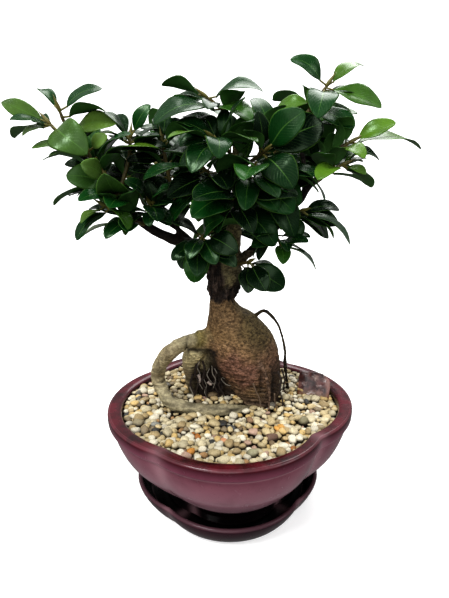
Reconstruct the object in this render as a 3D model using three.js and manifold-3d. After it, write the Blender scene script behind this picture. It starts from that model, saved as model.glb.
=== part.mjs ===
// Ginseng ficus growing in a four-lobed glazed bowl that stands on its own saucer.
// Millimetres, +Z up, the front faces -Y and +X is to the right.
// The origin is on the surface that the saucer stands on, below the middle of the pot. The saucer sits
// a little off that middle, as the pot was set down in it.
import * as THREE from 'three';
import { mergeVertices } from 'three/addons/utils/BufferGeometryUtils.js';
import Module from 'manifold-3d';

const wasm = await Module();
wasm.setup();

// Driving dimensions of the pottery. A profile is a list of [radius, height].
const restGap = 0.3;
const ringSteps = 32;
const saucerTurn = THREE.MathUtils.degToRad(5);
const saucerFloor = 5;
const potFoot = saucerFloor + restGap;
const saucerLobe = 0.2;
const saucerShift = -3.2;
const drainRadius = 7.5;
const potFloor = 12;
const potOuter = [[45, potFoot], [50, potFoot], [51.2, 14], [62, 25], [76.5, 40], [82, 50], [86.4, 64],
  [86.6, 65.4], [88.8, 66.9], [88.9, 70.6], [87, 73.6], [83.5, 74]];
const potInner = [[79.8, 71.5], [78, 58], [73.5, 46.5], [66, 36], [44, potFloor]];
const potHollow = 2.6;

// The lobes of the pot are unequal circles: right, back, left and front. Each is [middle x, middle y,
// radius], as shares of the profile's radius.
const potCircles = [[0.196, 0.081, 0.803], [-0.032, 0.284, 0.7955], [-0.163, -0.012, 0.854],
  [-0.022, -0.256, 0.73]];
const saucerProfile = [[57, 0], [60, 1.6], [65, 8.5], [68, 14.5], [68.5, 16.6], [67, 17.6], [65, 16.8],
  [62.8, 12], [60.2, 7], [56, saucerFloor]];

// Earth and gravel, with the pebbles as peaks of a three-way lattice.
const wallGap = 0.6;
const soilTop = 60;
const gravelBottom = soilTop + restGap;
const gravelLevel = 65.2;
const gravelMound = 1.6;
const gravelSlope = 0.08;
const pebblePitch = 8.2;
const pebbleRise = 3.1;
const pebbleUneven = 1.1;
const pebbleFan = 400;
const fieldAcross = 18;
const fieldAlong = 13;
const holeGap = 0.35;
const pebbleSeed = 4177;

// The flat piece of purple stone that leans by the rim: its five corners, thickness, place and turns.
const slabCorners = [[-12, 13], [-11, -7.5], [14, -9], [14, 8.5], [7, 14.5]];
const slabThick = 5;
const slabPlace = [63.3, 19, 72];
const slabTilt = [62, 0, -24].map(THREE.MathUtils.degToRad);

// The swollen root and the old trunk over it: height, left side, right side, half depth, middle depth.
const stemSides = 14;
const stemLevels = [
  [38, 15, 27, 8, 17], [47, 10, 31, 12, 17], [58, 6, 34.5, 15, 17], [69, 3.5, 36.5, 16.5, 17],
  [78, -1, 37.5, 18, 16.5], [88, -9, 38, 19.5, 16], [98, -17, 37, 20, 15.5], [109, -20.5, 34.5, 20, 15],
  [119, -20, 30.5, 19.5, 15], [128, -19.3, 23.5, 18, 14.5], [136, -18, 15, 15, 14], [142, -17.5, 4.8, 12, 14],
  [149, -17, 1.2, 10.3, 14], [157, -17.5, 4.5, 10.6, 14], [165, -18.8, 6.2, 11, 14],
  [173, -18.6, 5, 10.5, 14], [179, -17, 1.5, 9.3, 14],
];
const stemRidge = 0.035;

// Woody runs: the points of the middle line, the radii at its two ends, sides and steps.
const woodRuns = {
  oldStub: { line: [[-12, 14, 172], [-13.5, 14, 187]], radii: [6.6, 5.2], sides: 8, steps: 1 },
  scion: { line: [[-2, 13, 168], [0, 13, 186], [1, 12, 201], [3, 10, 218], [2, 7.5, 240], [2, 5, 263]],
    radii: [7, 2], sides: 7, steps: 7 },
  loopRoot: { line: [[-10, 11, 116], [-18, 11, 118], [-25, 9, 117.5], [-30, 5, 118], [-35, 2, 117],
    [-40, 0, 115], [-45, 0, 111], [-50, 2, 105], [-54, 4, 98], [-56, 7, 90], [-55, 6, 83.5], [-52, 3, 78.5],
    [-48, -2, 74.5], [-42, -5.5, 71.5], [-34, -8, 70.5], [-24, -10.5, 70], [-13, -11, 70], [-2, -9, 69],
    [6, -5, 66], [12, 0, 62]], radii: [5.3, 4.5], sides: 8, steps: 16 },
  rootKnot: { line: [[-13, 11, 117], [-21, 10.5, 118], [-29, 6.5, 118]], radii: [5.8, 6.2], sides: 8,
    steps: 2 },
  legRoot: { line: [[-14, 13, 117], [-24, 14, 111], [-31, 16, 103], [-33, 18, 94], [-32.5, 20, 84],
    [-31, 21, 72], [-30, 22, 61]], radii: [7.6, 3.6], sides: 8, steps: 6 },
  rootMat: { line: [[-12, 20, 104], [-18, 21, 92], [-20, 22, 78], [-19, 22, 61.5]], radii: [7, 8], sides: 7,
    steps: 3 },
  hairRootA: { line: [[-16, 12, 100], [-21, 14, 86], [-24, 16, 66]], radii: [2, 1.1], sides: 5, steps: 3 },
  hairRootB: { line: [[-8, 10, 97], [-9, 12, 84], [-4, 14, 65]], radii: [2.2, 1.1], sides: 5, steps: 3 },
  frontRoot: { line: [[17, 1, 107], [19.9, -3, 102.6], [23.6, -4, 95.2], [25.9, -5, 87.1], [27.5, -6, 79.6],
    [26.8, -7, 72.1], [27, -7.5, 63]], radii: [1.2, 1], sides: 5, steps: 6 },
  wireRoot: { line: [[17, 14, 134], [23, 12, 138.5], [29, 10, 135], [34, 10, 128], [37, 11, 120],
    [40, 13, 108], [41, 16, 94], [43, 20, 82], [46, 25, 66]], radii: [1, 0.9], sides: 5, steps: 9 },
  soilRootA: { line: [[18, 14, 46], [4, 8, 38], [-14, 2, 30]], radii: [5, 1.6], sides: 5, steps: 2 },
  soilRootB: { line: [[24, 18, 46], [36, 26, 36], [46, 30, 26]], radii: [4.6, 1.5], sides: 5, steps: 2 },
  leftBranch: { line: [[-9, 13, 180], [-20, 12, 187.5], [-30, 8, 188], [-43, 3, 193], [-56, -2, 200],
    [-68, -6, 211], [-75, -8, 219], [-81, -10, 231], [-89, -12, 241], [-96, -13.5, 246.5]],
    radii: [4.4, 1.5], sides: 6, steps: 9 },
  leftTwin: { line: [[-26, 10, 187], [-38, 10, 198], [-50, 4, 207], [-60, 2, 216]], radii: [2, 1.3],
    sides: 5, steps: 3 },
  midLeft: { line: [[-36, 6, 190], [-39, 4, 205], [-39.5, 1, 219]], radii: [2, 1.5], sides: 5, steps: 3 },
  rightBranch: { line: [[-3, 13, 169], [12, 8, 183], [20, 4, 189], [29, 2, 200], [38, 0, 213], [45, 0, 218],
    [49, 0, 225], [57, -2, 236], [59, -3, 245]], radii: [3.6, 1.5], sides: 6, steps: 9 },
  rightRise: { line: [[48, 0, 224], [47, 3, 240], [44, 4, 256], [44, 4, 268]], radii: [1.9, 1.5],
    sides: 5, steps: 3 },
  innerRight: { line: [[3, 10, 210], [12, 8, 214], [19, 5, 220]], radii: [2, 1.5], sides: 5, steps: 3 },
  rearLeft: { line: [[-4, 14, 186], [-14, 26, 203], [-28, 37, 218], [-37, 43, 228]], radii: [3, 1.5],
    sides: 5, steps: 4 },
  rearRight: { line: [[1, 12, 201], [14, 26, 214], [30, 38, 226], [39, 43, 236]], radii: [2.8, 1.5],
    sides: 5, steps: 4 },
  rearTop: { line: [[2, 8, 236], [6, 22, 250], [8, 31, 258]], radii: [2, 1.5], sides: 5, steps: 3 },
};

// Leafy sprays. A twig leaves the wood at its first point; stub is how far the woody part of it reaches.
// A leaf is [place along the twig, tip x, tip y, tip z, degrees that its face leans to the front],
// and more is how many leaves the growth rule adds along the twig.
const sprays = {
  outer_left: { twig: [[-96, -13.5, 246.5], [-106, -15, 257], [-112, -16, 264]], stub: 4,
    leaves: [[1, -137, -22, 275, 55], [0.95, -125, -26, 256, 30], [0.9, -86, -34, 246, 70]], more: 2 },
  left_top: { twig: [[-88, -12, 240], [-96, -8, 253], [-103, -13, 263], [-105, -17, 271]], stub: 8,
    leaves: [[1, -80, -14, 285, 40], [1, -120, -8, 285, 13], [0.85, -77, -24, 276, -10],
      [0.6, -66, -32, 265, 60], [0.4, -78, 12, 270, 30]], more: 0 },
  left_mid: { twig: [[-82, -10, 232], [-86, -18, 239], [-88, -22, 247]], stub: 6,
    leaves: [[1, -95, -34, 261, 75], [1, -76, -28, 256, 75], [0.5, -111, -34, 243, -5],
      [0.6, -47, -34, 249, 10]],
    more: 1 },
  left_front: { twig: [[-68, -6, 211], [-72, -16, 221], [-78, -20, 232]], stub: 7,
    leaves: [[1, -88, -38, 239, 75], [0.5, -73, -44, 233, 85], [0.8, -98, -30, 238, 70],
      [0.6, -112, -6, 224, 0]],
    more: 1 },
  left_low: { twig: [[-58, -3, 202], [-66, -14, 206], [-74, -17, 211], [-80, -20, 215]], stub: 6,
    leaves: [[1, -92, -34, 206, 12], [0.25, -97, -24, 195, -2], [0.95, -92, -28, 217, 10],
      [0.4, -72, -18, 196, 60]],
    more: 1 },
  left_inner: { twig: [[-75, -8, 220], [-67, -8, 243], [-65, -8, 257]], stub: 5,
    leaves: [[1, -51, -14, 275, 60], [0.9, -81, -24, 257, 20], [0.85, -81, 8, 260, 20],
      [0.6, -44, -20, 252, 40], [0.95, -77, 2, 272, 45], [0.8, -50, 14, 262, 30]],
    more: 0 },
  mid_left: { twig: [[-39.5, 1, 219], [-43, -6, 240], [-45, -8, 254]], stub: 4,
    leaves: [[1, -43, -4, 272, 80], [1, -31, 2, 272, 60], [0.8, -62, 10, 254, 20]], more: 3 },
  top_left: { twig: [[2, 5, 263], [-7, -2, 274], [-17, -6, 281]], stub: 4,
    leaves: [[1, -45, -2, 289, -20], [0.95, 17, -14, 284, 35], [0.7, 9, -32, 264, 30],
      [0.55, -43, -34, 272, 30], [0.8, -33, 26, 285, 20]], more: 0 },
  mid_front: { twig: [[2, 7, 243], [-5, -14, 250], [-13, -28, 255]], stub: 6,
    leaves: [[1, -37, -44, 253, 5], [0.9, 12, -48, 250, -5], [0.6, -25, -50, 241, 30],
      [0.8, -20, -8, 270, 50]],
    more: 2 },
  front_left: { twig: [[3, 9, 225], [-10, -14, 232], [-18, -28, 237]], stub: 7,
    leaves: [[1, -48, -50, 231, 15], [0.7, -36, -40, 221, 60], [0.9, -11, -46, 243, 50]], more: 3 },
  front_low: { twig: [[3, 11, 212], [0, -12, 218], [2, -24, 223]], stub: 7,
    leaves: [[1, -22, -56, 221, 50], [1, 19, -56, 217, 50], [0.7, -29, -44, 211, 60],
      [0.5, 11, -36, 200, 45], [0.3, 27, -20, 191, 60]],
    more: 3 },
  low_left: { twig: [[-20, 12, 187.5], [-22, -8, 193], [-18, -20, 198]], stub: 8,
    leaves: [[1, 2, -34, 188, 80], [0.5, -26, -18, 166, 70], [0.4, -38, 4, 172, 60],
      [0.55, -40, -8, 181, 10], [0.8, -38, -32, 207, 40], [0.7, -12, -38, 209, 60]], more: 1 },
  right_mid: { twig: [[2, 7, 238], [15, -10, 245], [19, -20, 248]], stub: 6,
    leaves: [[1, 39, -34, 268, 70], [0.95, 54, -22, 264, 75], [0.7, 16, -26, 269, 45],
      [0.8, 34, -38, 226, 70]],
    more: 4 },
  front_right: { twig: [[3, 9, 219], [8, -14, 231], [11, -26, 237]], stub: 7,
    leaves: [[1, 41, -50, 241, 15], [0.6, 17, -46, 212, 70]], more: 4 },
  right_inner: { twig: [[19, 5, 220], [23, -8, 231], [26, -14, 238]], stub: 4,
    leaves: [[1, 55, -30, 220, -10], [0.6, 41, -24, 217, 60], [0.3, 39, -18, 196, 50]], more: 3 },
  top_right: { twig: [[44, 4, 268], [52, 0, 279], [58, -3, 288]], stub: 4,
    leaves: [[1, 35, -6, 303, 60], [1, 82, 4, 302, 30], [0.95, 101, -14, 279, 48], [0.9, 47, -34, 266, 40],
      [0.6, 79, 8, 262, 50], [0.5, 29, 12, 279, 60], [0.3, 72, -20, 262, 50]], more: 0 },
  right_tip: { twig: [[59, -3, 245], [66, -8, 250], [73, -10, 254]], stub: 4,
    leaves: [[1, 98, -16, 265, 50], [0.95, 120, -4, 252, 20], [0.5, 75, -34, 243, 45]], more: 1 },
  right_low: { twig: [[56, -2, 234], [62, -8, 237], [68, -12, 240]], stub: 4,
    leaves: [[0.9, 45, -30, 231, 30], [1, 80, -24, 234, 45], [1, 103, -6, 224, 0]],
    more: 1 },
  lower_right: { twig: [[38, 0, 213], [41, -6, 211], [44, -11, 212]], stub: 4,
    leaves: [[1, 75, -18, 191, 10], [0.7, 40, -23, 201, 75]], more: 0 },
  lower_mid: { twig: [[28, 2, 199], [29, -4, 195], [31, -8, 191]], stub: 4,
    leaves: [[1, 54, -18, 175, -5], [0.9, 42, -24, 180, -5], [0.6, 31, -28, 181, -5],
      [0.5, 19, -26, 190, 60]],
    more: 0 },
  lowest_right: { twig: [[-4, 13, 173], [8, 0, 176], [11, -5, 178]], stub: 14,
    leaves: [[1, 21, -22, 161, 75], [0.9, 35, -8, 160, 75]], more: 0 },
  twin_front: { twig: [[-50, 4, 207], [-52, -8, 211], [-53, -16, 216]], stub: 4,
    leaves: [[1, -64, -34, 230, 50], [1, -38, -32, 227, 40], [0.7, -72, -20, 208, 20],
      [0.5, -35, -14, 203, 30]],
    more: 2 },
  twin_left: { twig: [[-60, 2, 216], [-66, 10, 226], [-70, 18, 236]], stub: 4, leaves: [], more: 5 },
  rear_far_left: { twig: [[-79, -9.5, 227], [-86, 6, 234], [-92, 18, 242]], stub: 5,
    leaves: [[1, -116, 30, 250, 30], [0.9, -108, 36, 236, 30], [0.8, -108, 28, 270, 40],
      [0.5, -96, 24, 222, 30]],
    more: 0 },
  rear_left_end: { twig: [[-37, 43, 228], [-48, 50, 238], [-58, 54, 245]], stub: 4, leaves: [], more: 5 },
  rear_left_side: { twig: [[-22, 32, 212], [-30, 48, 214], [-32, 60, 219]], stub: 5, leaves: [], more: 4 },
  rear_left_top: { twig: [[-29, 37.5, 219], [-28, 35, 238], [-26, 32, 252]], stub: 5, leaves: [], more: 5 },
  rear_right_end: { twig: [[39, 43, 236], [50, 48, 246], [60, 51, 252]], stub: 4, leaves: [], more: 5 },
  rear_right_side: { twig: [[26, 35, 223], [28, 50, 224], [33, 62, 228]], stub: 5, leaves: [], more: 5 },
  rear_right_top: { twig: [[33, 39.5, 229], [32, 34, 247], [29, 30, 261]], stub: 5, leaves: [], more: 5 },
  rear_top: { twig: [[8, 31, 258], [10, 42, 264], [12, 52, 266]], stub: 4,
    leaves: [[1, 32, 74, 268, 20], [0.9, -10, 76, 272, 20], [0.7, -16, 50, 284, 20], [0.5, 36, 46, 278, 20]],
    more: 1 },
  rear_low: { twig: [[1, 12.5, 196], [2, 30, 195], [-1, 45, 198]], stub: 8, leaves: [], more: 4 },
  rear_far_right: { twig: [[50, 0, 227], [61, 12, 233], [70, 22, 243]], stub: 5,
    leaves: [[1, 86, 42, 262, 30], [0.9, 90, 20, 252, 30]],
    more: 0 },
  rear_top_right: { twig: [[44.5, 4, 259], [50, 17, 268], [57, 27, 276]], stub: 5, leaves: [], more: 5 },
};

// Leaf form: the outline is widest near the middle and comes to a blunt point.
const petioleLength = 5;
const petioleHalf = 0.65;
const petioleShare = 0.25;
const bladeThickness = 1.2;
const narrowLeaf = 0.56;
const broadLeaf = 0.72;
const broadFace = 70;
const bladeStations = [[0.02, 0.12], [0.33, 0.92], [0.72, 0.86]];
const archRange = [0.07, 0.12];
const foldRange = [0.1, 0.22];
const ruleLength = [30, 14];
const ruleSpread = [52, 22];
const ruleStart = 0.25;
const ruleLean = 25;
const divergence = THREE.MathUtils.degToRad(137.5);
const twigSides = 4;
const twigRadii = [1.3, 1];
const budSteps = [[3, 1.35], [9, 0.3]];
const leafClear = 1.3;
const edgeClear = 0.8;
const woodClear = 0.8;
const nearShare = 0.62;
const chainStep = 4;
const trunkLevels = 6;
const trunkRadius = 12;
const stubRadii = [1.6, 1.45];
const bendSizes = [1, 0.8];
const bendLifts = [0, 10, -10, 20, -20, 32, -32];
const bendTurns = [0, 10, -10, 20, -20, 32, -32, 46, -46];
const shortCost = 90;
const leafSeed = 20611;

// Seeded draws, so that pebbles and leaves come out the same each time. Each kind has its own seed.
let drawState = 1;
function draw(low, spread) {
  drawState = (drawState * 16807) % 2147483647;
  return low + (spread * drawState) / 2147483647;
}

const vector = ([x, y, z]) => new THREE.Vector3(x, y, z);
const up = new THREE.Vector3(0, 0, 1);
const front = new THREE.Vector3(0, -1, 0);

// A closed body from rings of equal length. The last ring joins the first one when loop is true,
// and each open end is closed by a flat fan, or by a point where the ring is a single vertex.
function ringBody(rings, loop = false) {
  const positions = [];
  const starts = rings.map((ring) => {
    const start = positions.length / 3;
    ring.forEach((point) => positions.push(point.x, point.y, point.z));
    return start;
  });
  const faces = [];
  const spans = loop ? rings.length : rings.length - 1;
  for (let k = 0; k < spans; k += 1) {
    const next = (k + 1) % rings.length;
    const sides = Math.max(rings[k].length, rings[next].length);
    const here = (i) => starts[k] + (rings[k].length === 1 ? 0 : i % sides);
    const there = (i) => starts[next] + (rings[next].length === 1 ? 0 : i % sides);
    for (let i = 0; i < sides; i += 1) {
      if (rings[k].length > 1) faces.push(here(i), here(i + 1), there(i));
      if (rings[next].length > 1) faces.push(here(i + 1), there(i + 1), there(i));
    }
  }
  if (!loop) {
    const last = rings.length - 1;
    for (let i = 1; i < rings[0].length - 1; i += 1) faces.push(starts[0], starts[0] + i + 1, starts[0] + i);
    for (let i = 1; i < rings[last].length - 1; i += 1) {
      faces.push(starts[last], starts[last] + i, starts[last] + i + 1);
    }
  }
  return solidOf(positions, faces);
}

// Six times the volume of a triangle list, which is negative when its faces point inwards.
function signedVolume(positions, faces) {
  const corner = (i) => new THREE.Vector3().fromArray(positions, faces[i] * 3);
  let sum = 0;
  for (let i = 0; i < faces.length; i += 3) sum += corner(i).dot(corner(i + 1).cross(corner(i + 2)));
  return sum;
}

function solidOf(positions, faces) {
  if (signedVolume(positions, faces) < 0) faces.reverse();
  const mesh = new wasm.Mesh({
    numProp: 3,
    vertProperties: new Float32Array(positions),
    triVerts: new Uint32Array(faces),
  });
  return new wasm.Manifold(mesh);
}

// A solid from one of the geometry classes.
function solidFromGeometry(geometry) {
  const bare = geometry.clone();
  bare.deleteAttribute('normal');
  bare.deleteAttribute('uv');
  const merged = mergeVertices(bare, 1e-4);
  return solidOf(Array.from(merged.attributes.position.array), Array.from(merged.index.array));
}

function geometryOf(solid) {
  const { vertProperties, triVerts } = solid.getMesh();
  const indexed = new THREE.BufferGeometry();
  indexed.setAttribute('position', new THREE.BufferAttribute(vertProperties, 3));
  indexed.setIndex(new THREE.BufferAttribute(triVerts, 1));
  const geometry = indexed.toNonIndexed();
  geometry.computeVertexNormals();
  return geometry;
}

const joined = (solids) => solids.reduce((whole, solid) => whole.add(solid));

// The outer point where two circles meet, as an angle seen from the middle of the pot. The second
// circle is the next one in the counterclockwise sense.
function creaseBetween([x0, y0, r0], [x1, y1, r1]) {
  const [dx, dy] = [x1 - x0, y1 - y0];
  const apart = Math.hypot(dx, dy);
  const along = (r0 ** 2 - r1 ** 2 + apart ** 2) / (2 * apart);
  const aside = Math.sqrt(r0 ** 2 - along ** 2);
  return Math.atan2(y0 + (along * dy - aside * dx) / apart, x0 + (along * dx + aside * dy) / apart);
}

// The directions and distances of the pot's outline for a profile radius of one, lobe by lobe.
const potOutline = potCircles.flatMap((circle, k) => {
  const [x, y, radius] = circle;
  const from = creaseBetween(potCircles[(k + 3) % 4], circle);
  const to = creaseBetween(circle, potCircles[(k + 1) % 4]);
  const sweep = (to - from + 2 * Math.PI) % (2 * Math.PI);
  const steps = ringSteps / potCircles.length;
  return Array.from({ length: steps }, (_, i) => {
    const angle = from + (sweep * i) / steps;
    const ahead = x * Math.cos(angle) + y * Math.sin(angle);
    const aside = x * Math.sin(angle) - y * Math.cos(angle);
    return [angle, ahead + Math.sqrt(radius ** 2 - aside ** 2)];
  });
});

const potRing = (radius, height) => potOutline.map(([angle, reach]) => (
  new THREE.Vector3(radius * reach * Math.cos(angle), radius * reach * Math.sin(angle), height)));
const roundRing = (radius, height) => potOutline.map(([angle]) => (
  new THREE.Vector3(radius * Math.cos(angle), radius * Math.sin(angle), height)));

// The saucer is four equal circles side by side round its middle.
function saucerRing(radius, height) {
  const offset = saucerLobe * radius;
  return Array.from({ length: ringSteps }, (_, i) => {
    const angle = (i / ringSteps) * Math.PI * 2;
    const fromLobe = ((angle + Math.PI / 4) % (Math.PI / 2)) - Math.PI / 4;
    const reach = offset * Math.cos(fromLobe)
      + Math.sqrt((radius - offset) ** 2 - (offset * Math.sin(fromLobe)) ** 2);
    return new THREE.Vector3(reach * Math.cos(angle + saucerTurn) + saucerShift,
      reach * Math.sin(angle + saucerTurn), height);
  });
}

function makePot() {
  const wall = [...potOuter, ...potInner].map((level) => potRing(...level));
  const under = potFoot + potHollow;
  const drain = [potFloor, under].map((height) => roundRing(drainRadius, height));
  return ringBody([...wall, ...drain, potRing(potOuter[0][0] - 2, under)], true);
}

function makeSaucer() {
  const rings = saucerProfile.map((level) => saucerRing(...level));
  return ringBody([[new THREE.Vector3(0, 0, 0)], ...rings, [new THREE.Vector3(0, 0, saucerFloor)]]);
}

// The room inside the pot between two heights, kept clear of its wall.
function potRoom(low, high) {
  const wall = [...potInner].reverse();
  const radiusAt = (height) => {
    const above = Math.max(1, wall.findIndex((level) => level[1] >= height));
    const [r0, z0] = wall[above - 1];
    const [r1, z1] = wall[above];
    return r0 + ((r1 - r0) * (height - z0)) / (z1 - z0);
  };
  const heights = [low, ...wall.map((level) => level[1]).filter((z) => z > low + 1 && z < high - 1), high];
  const rings = heights.map((height) => potRing(radiusAt(height) - wallGap, height));
  return ringBody([[new THREE.Vector3(0, 0, low)], ...rings, [new THREE.Vector3(0, 0, high)]]);
}

// The pebbles: a three-way lattice with every third point raised, over a fan to one point far below.
function makePebbleField() {
  drawState = pebbleSeed;
  const positions = [];
  const [across, along] = [fieldAcross, fieldAlong];
  const vertexAt = (q, r) => (r + along) * (2 * across + 1) + q + across;
  const uneven = () => draw(-0.5, 1) * pebbleUneven;
  for (let r = -along; r <= along; r += 1) {
    for (let q = -across; q <= across; q += 1) {
      const x = pebblePitch * (q + r / 2);
      const y = pebblePitch * (Math.sqrt(3) / 2) * r;
      const peak = (((q - r) % 3) + 3) % 3 === 0 ? pebbleRise : 0;
      const mound = gravelMound * (1 - (x * x + y * y) / potInner[0][0] ** 2) + gravelSlope * Math.max(y, 0);
      positions.push(x + uneven(), y + uneven(), gravelLevel + mound + peak + uneven());
    }
  }
  positions.push(0, 0, -pebbleFan);
  const apex = positions.length / 3 - 1;
  const faces = [];
  for (let r = -along; r < along; r += 1) {
    for (let q = -across; q < across; q += 1) {
      faces.push(vertexAt(q, r), vertexAt(q + 1, r), vertexAt(q, r + 1));
      faces.push(vertexAt(q + 1, r), vertexAt(q + 1, r + 1), vertexAt(q, r + 1));
    }
  }
  for (let q = -across; q < across; q += 1) {
    faces.push(vertexAt(q + 1, -along), vertexAt(q, -along), apex);
    faces.push(vertexAt(q, along), vertexAt(q + 1, along), apex);
  }
  for (let r = -along; r < along; r += 1) {
    faces.push(vertexAt(-across, r), vertexAt(-across, r + 1), apex);
    faces.push(vertexAt(across, r + 1), vertexAt(across, r), apex);
  }
  return solidOf(positions, faces);
}

// The slab is a flat piece with five corners. To grow it, each corner moves away from the middle.
function makeSlab(grow = 0) {
  const outward = (value) => value + 2 * grow * Math.sign(value);
  const shape = new THREE.Shape(slabCorners.map(([x, y]) => new THREE.Vector2(outward(x), outward(y))));
  const thick = slabThick + 2 * grow;
  const flat = new THREE.ExtrudeGeometry(shape, { depth: thick, steps: 1, bevelEnabled: false });
  flat.translate(0, 0, -thick / 2).rotateX(slabTilt[0]).rotateY(slabTilt[1]).rotateZ(slabTilt[2]);
  return solidFromGeometry(flat.translate(...slabPlace));
}

// A round run of tapering thickness along a smooth line, cut square at both ends.
function run({ line, radii, sides, steps }, grow = 0) {
  const curve = new THREE.CatmullRomCurve3(line.map(vector), false, 'centripetal');
  return tube(curve.getSpacedPoints(steps), radii.map((radius) => radius + grow), sides);
}

// Rings square to a line of points. The radii run evenly from the first value to the last one.
function tube(points, radii, sides) {
  const last = points.length - 1;
  let side = null;
  const rings = points.map((point, k) => {
    const back = points[Math.max(k - 1, 0)];
    const ahead = points[Math.min(k + 1, last)];
    const along = ahead.clone().sub(back).normalize();
    const guess = side ?? (Math.abs(along.z) > 0.8 ? front : up);
    side = guess.clone().addScaledVector(along, -guess.dot(along)).normalize();
    const other = along.clone().cross(side);
    const radius = radii.length > 2 ? radii[k] : radii[0] + ((radii[1] - radii[0]) * k) / last;
    return Array.from({ length: sides }, (_, i) => {
      const angle = (i / sides) * Math.PI * 2;
      return point.clone().addScaledVector(side, radius * Math.cos(angle))
        .addScaledVector(other, radius * Math.sin(angle));
    });
  });
  return ringBody(rings);
}

// The swollen root and trunk: ovals with three soft ridges that turn as they climb.
function makeStem(grow = 0) {
  const rings = stemLevels.map(([height, left, right, half, middle], k) => {
    const reachX = (right - left) / 2 + grow;
    const level = height + (k === 0 ? -grow : 0);
    return Array.from({ length: stemSides }, (_, i) => {
      const angle = (i / stemSides) * Math.PI * 2;
      const ridge = 1 + stemRidge * Math.cos(3 * angle + height * 0.04);
      const x = (left + right) / 2 + reachX * Math.cos(angle) * ridge;
      return new THREE.Vector3(x, middle + (half + grow) * Math.sin(angle) * ridge, level);
    });
  });
  return ringBody(rings);
}

// Where a spray leaves the wood: its direction, and the flat ends on both sides of the joint.
function sprayJoint({ twig, stub }) {
  const root = vector(twig[0]);
  const along = vector(twig[1]).sub(root).normalize();
  return { root, along, woodEnd: root.clone().addScaledVector(along, stub),
    twigStart: root.clone().addScaledVector(along, stub + restGap) };
}

function makeWood() {
  const solids = [makeStem(), ...Object.values(woodRuns).map((item) => run(item))];
  Object.values(sprays).forEach((spray) => {
    const joint = sprayJoint(spray);
    solids.push(tube([joint.root, joint.woodEnd], stubRadii, twigSides));
  });
  return joined(solids);
}

// What stands in the gravel and the earth, a little enlarged.
function makeRootHoles() {
  const buried = ['loopRoot', 'legRoot', 'rootMat', 'hairRootA', 'hairRootB', 'frontRoot', 'wireRoot',
    'soilRootA', 'soilRootB'];
  return joined([makeStem(holeGap), ...buried.map((name) => run(extended(woodRuns[name]), holeGap))]);
}

// The same run with its last point carried on by the clearance.
function extended(item) {
  const line = item.line.map((point) => [...point]);
  const end = vector(line[line.length - 1]);
  const before = vector(line[line.length - 2]);
  line.push(end.clone().addScaledVector(end.clone().sub(before).normalize(), holeGap + 0.25).toArray());
  return { ...item, line, radii: [item.radii[0], item.radii[1] + 0.15], steps: item.steps };
}

// The point of a twig at a share of its length, counted by its points.
function twigPoint(points, share) {
  const place = share * (points.length - 1);
  const k = Math.min(Math.floor(place), points.length - 2);
  return points[k].clone().lerp(points[k + 1], place - k);
}

// A leaf is a blade over the line from its base to its tip. It arches up along that line and its two
// halves rise from the midrib.
function leafFrom(stalk, tip, face, share, arch, fold) {
  const reach = tip.clone().sub(stalk);
  const petiole = Math.min(petioleLength, petioleShare * reach.length());
  const along = reach.clone().normalize();
  const base = stalk.clone().addScaledVector(along, petiole);
  const length = reach.length() - petiole;
  const lean = THREE.MathUtils.degToRad(face);
  const wanted = up.clone().multiplyScalar(Math.cos(lean)).addScaledVector(front, Math.sin(lean));
  const normal = wanted.addScaledVector(along, -wanted.dot(along)).normalize();
  const side = along.clone().cross(normal);
  return { stalk, base, along, side, normal, length, petiole, half: (length * share) / 2, arch, fold };
}

const riseAt = (leaf, s, v) => leaf.arch * leaf.length * 4 * s * (1 - s) + leaf.fold * Math.abs(v);

function halfWidthAt(leaf, s) {
  if (s <= 0) return petioleHalf;
  return Math.max(petioleHalf * (1 - s), leaf.half * Math.sin(Math.PI * Math.min(s, 1) ** 0.85) ** 0.8);
}

function leafPoint(leaf, s, v, lift = 0) {
  return leaf.base.clone().addScaledVector(leaf.along, s * leaf.length).addScaledVector(leaf.side, v)
    .addScaledVector(leaf.normal, (s < 0 ? 0 : riseAt(leaf, s, v)) + lift);
}

function makeLeafSolid(leaf) {
  const diamond = (s, half, thick) => [leafPoint(leaf, s, -half), leafPoint(leaf, s, 0, thick / 2),
    leafPoint(leaf, s, half), leafPoint(leaf, s, 0, -thick / 2)];
  const start = diamond(-leaf.petiole / leaf.length, petioleHalf, 2 * petioleHalf);
  const blade = bladeStations.map(([s, share]) => diamond(s, leaf.half * share, bladeThickness));
  return ringBody([start, ...blade, [leafPoint(leaf, 1, 0)]]);
}

// Height of a point over the leaf's surface, and whether it lies over the outline.
function overLeaf(leaf, point, margin) {
  const rel = point.clone().sub(leaf.base);
  const s = rel.dot(leaf.along) / leaf.length;
  const v = rel.dot(leaf.side);
  const inside = s > -leaf.petiole / leaf.length && s < 1 + margin / leaf.length
    && Math.abs(v) < halfWidthAt(leaf, s) + margin;
  return { inside, s, v, height: rel.dot(leaf.normal) - (s < 0 ? 0 : riseAt(leaf, Math.min(s, 1), v)) };
}

// True when a chain of points touches the leaf or passes through it.
function chainMeetsLeaf(leaf, chain, margin, clear) {
  let before = null;
  return chain.some((point) => {
    const now = overLeaf(leaf, point, margin);
    if (now.inside && Math.abs(now.height) < clear) return true;
    const crossed = before && before.height * now.height < 0 && (before.inside || now.inside);
    before = now;
    return crossed;
  });
}

const chainShares = [-0.1, 0.05, 0.17, 0.29, 0.41, 0.53, 0.65, 0.77, 0.89, 1];
const rowShares = [-1, -0.5, 0, 0.5, 1];
const outlinePoint = (leaf, s, side) => leafPoint(leaf, s, side * halfWidthAt(leaf, s));
const leafRows = (leaf) => [-1, 0, 1].map((side) => chainShares.map((s) => outlinePoint(leaf, s, side)));
const leafCrossRows = (leaf) => chainShares.map((s) => rowShares.map((side) => outlinePoint(leaf, s, side)));

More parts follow.
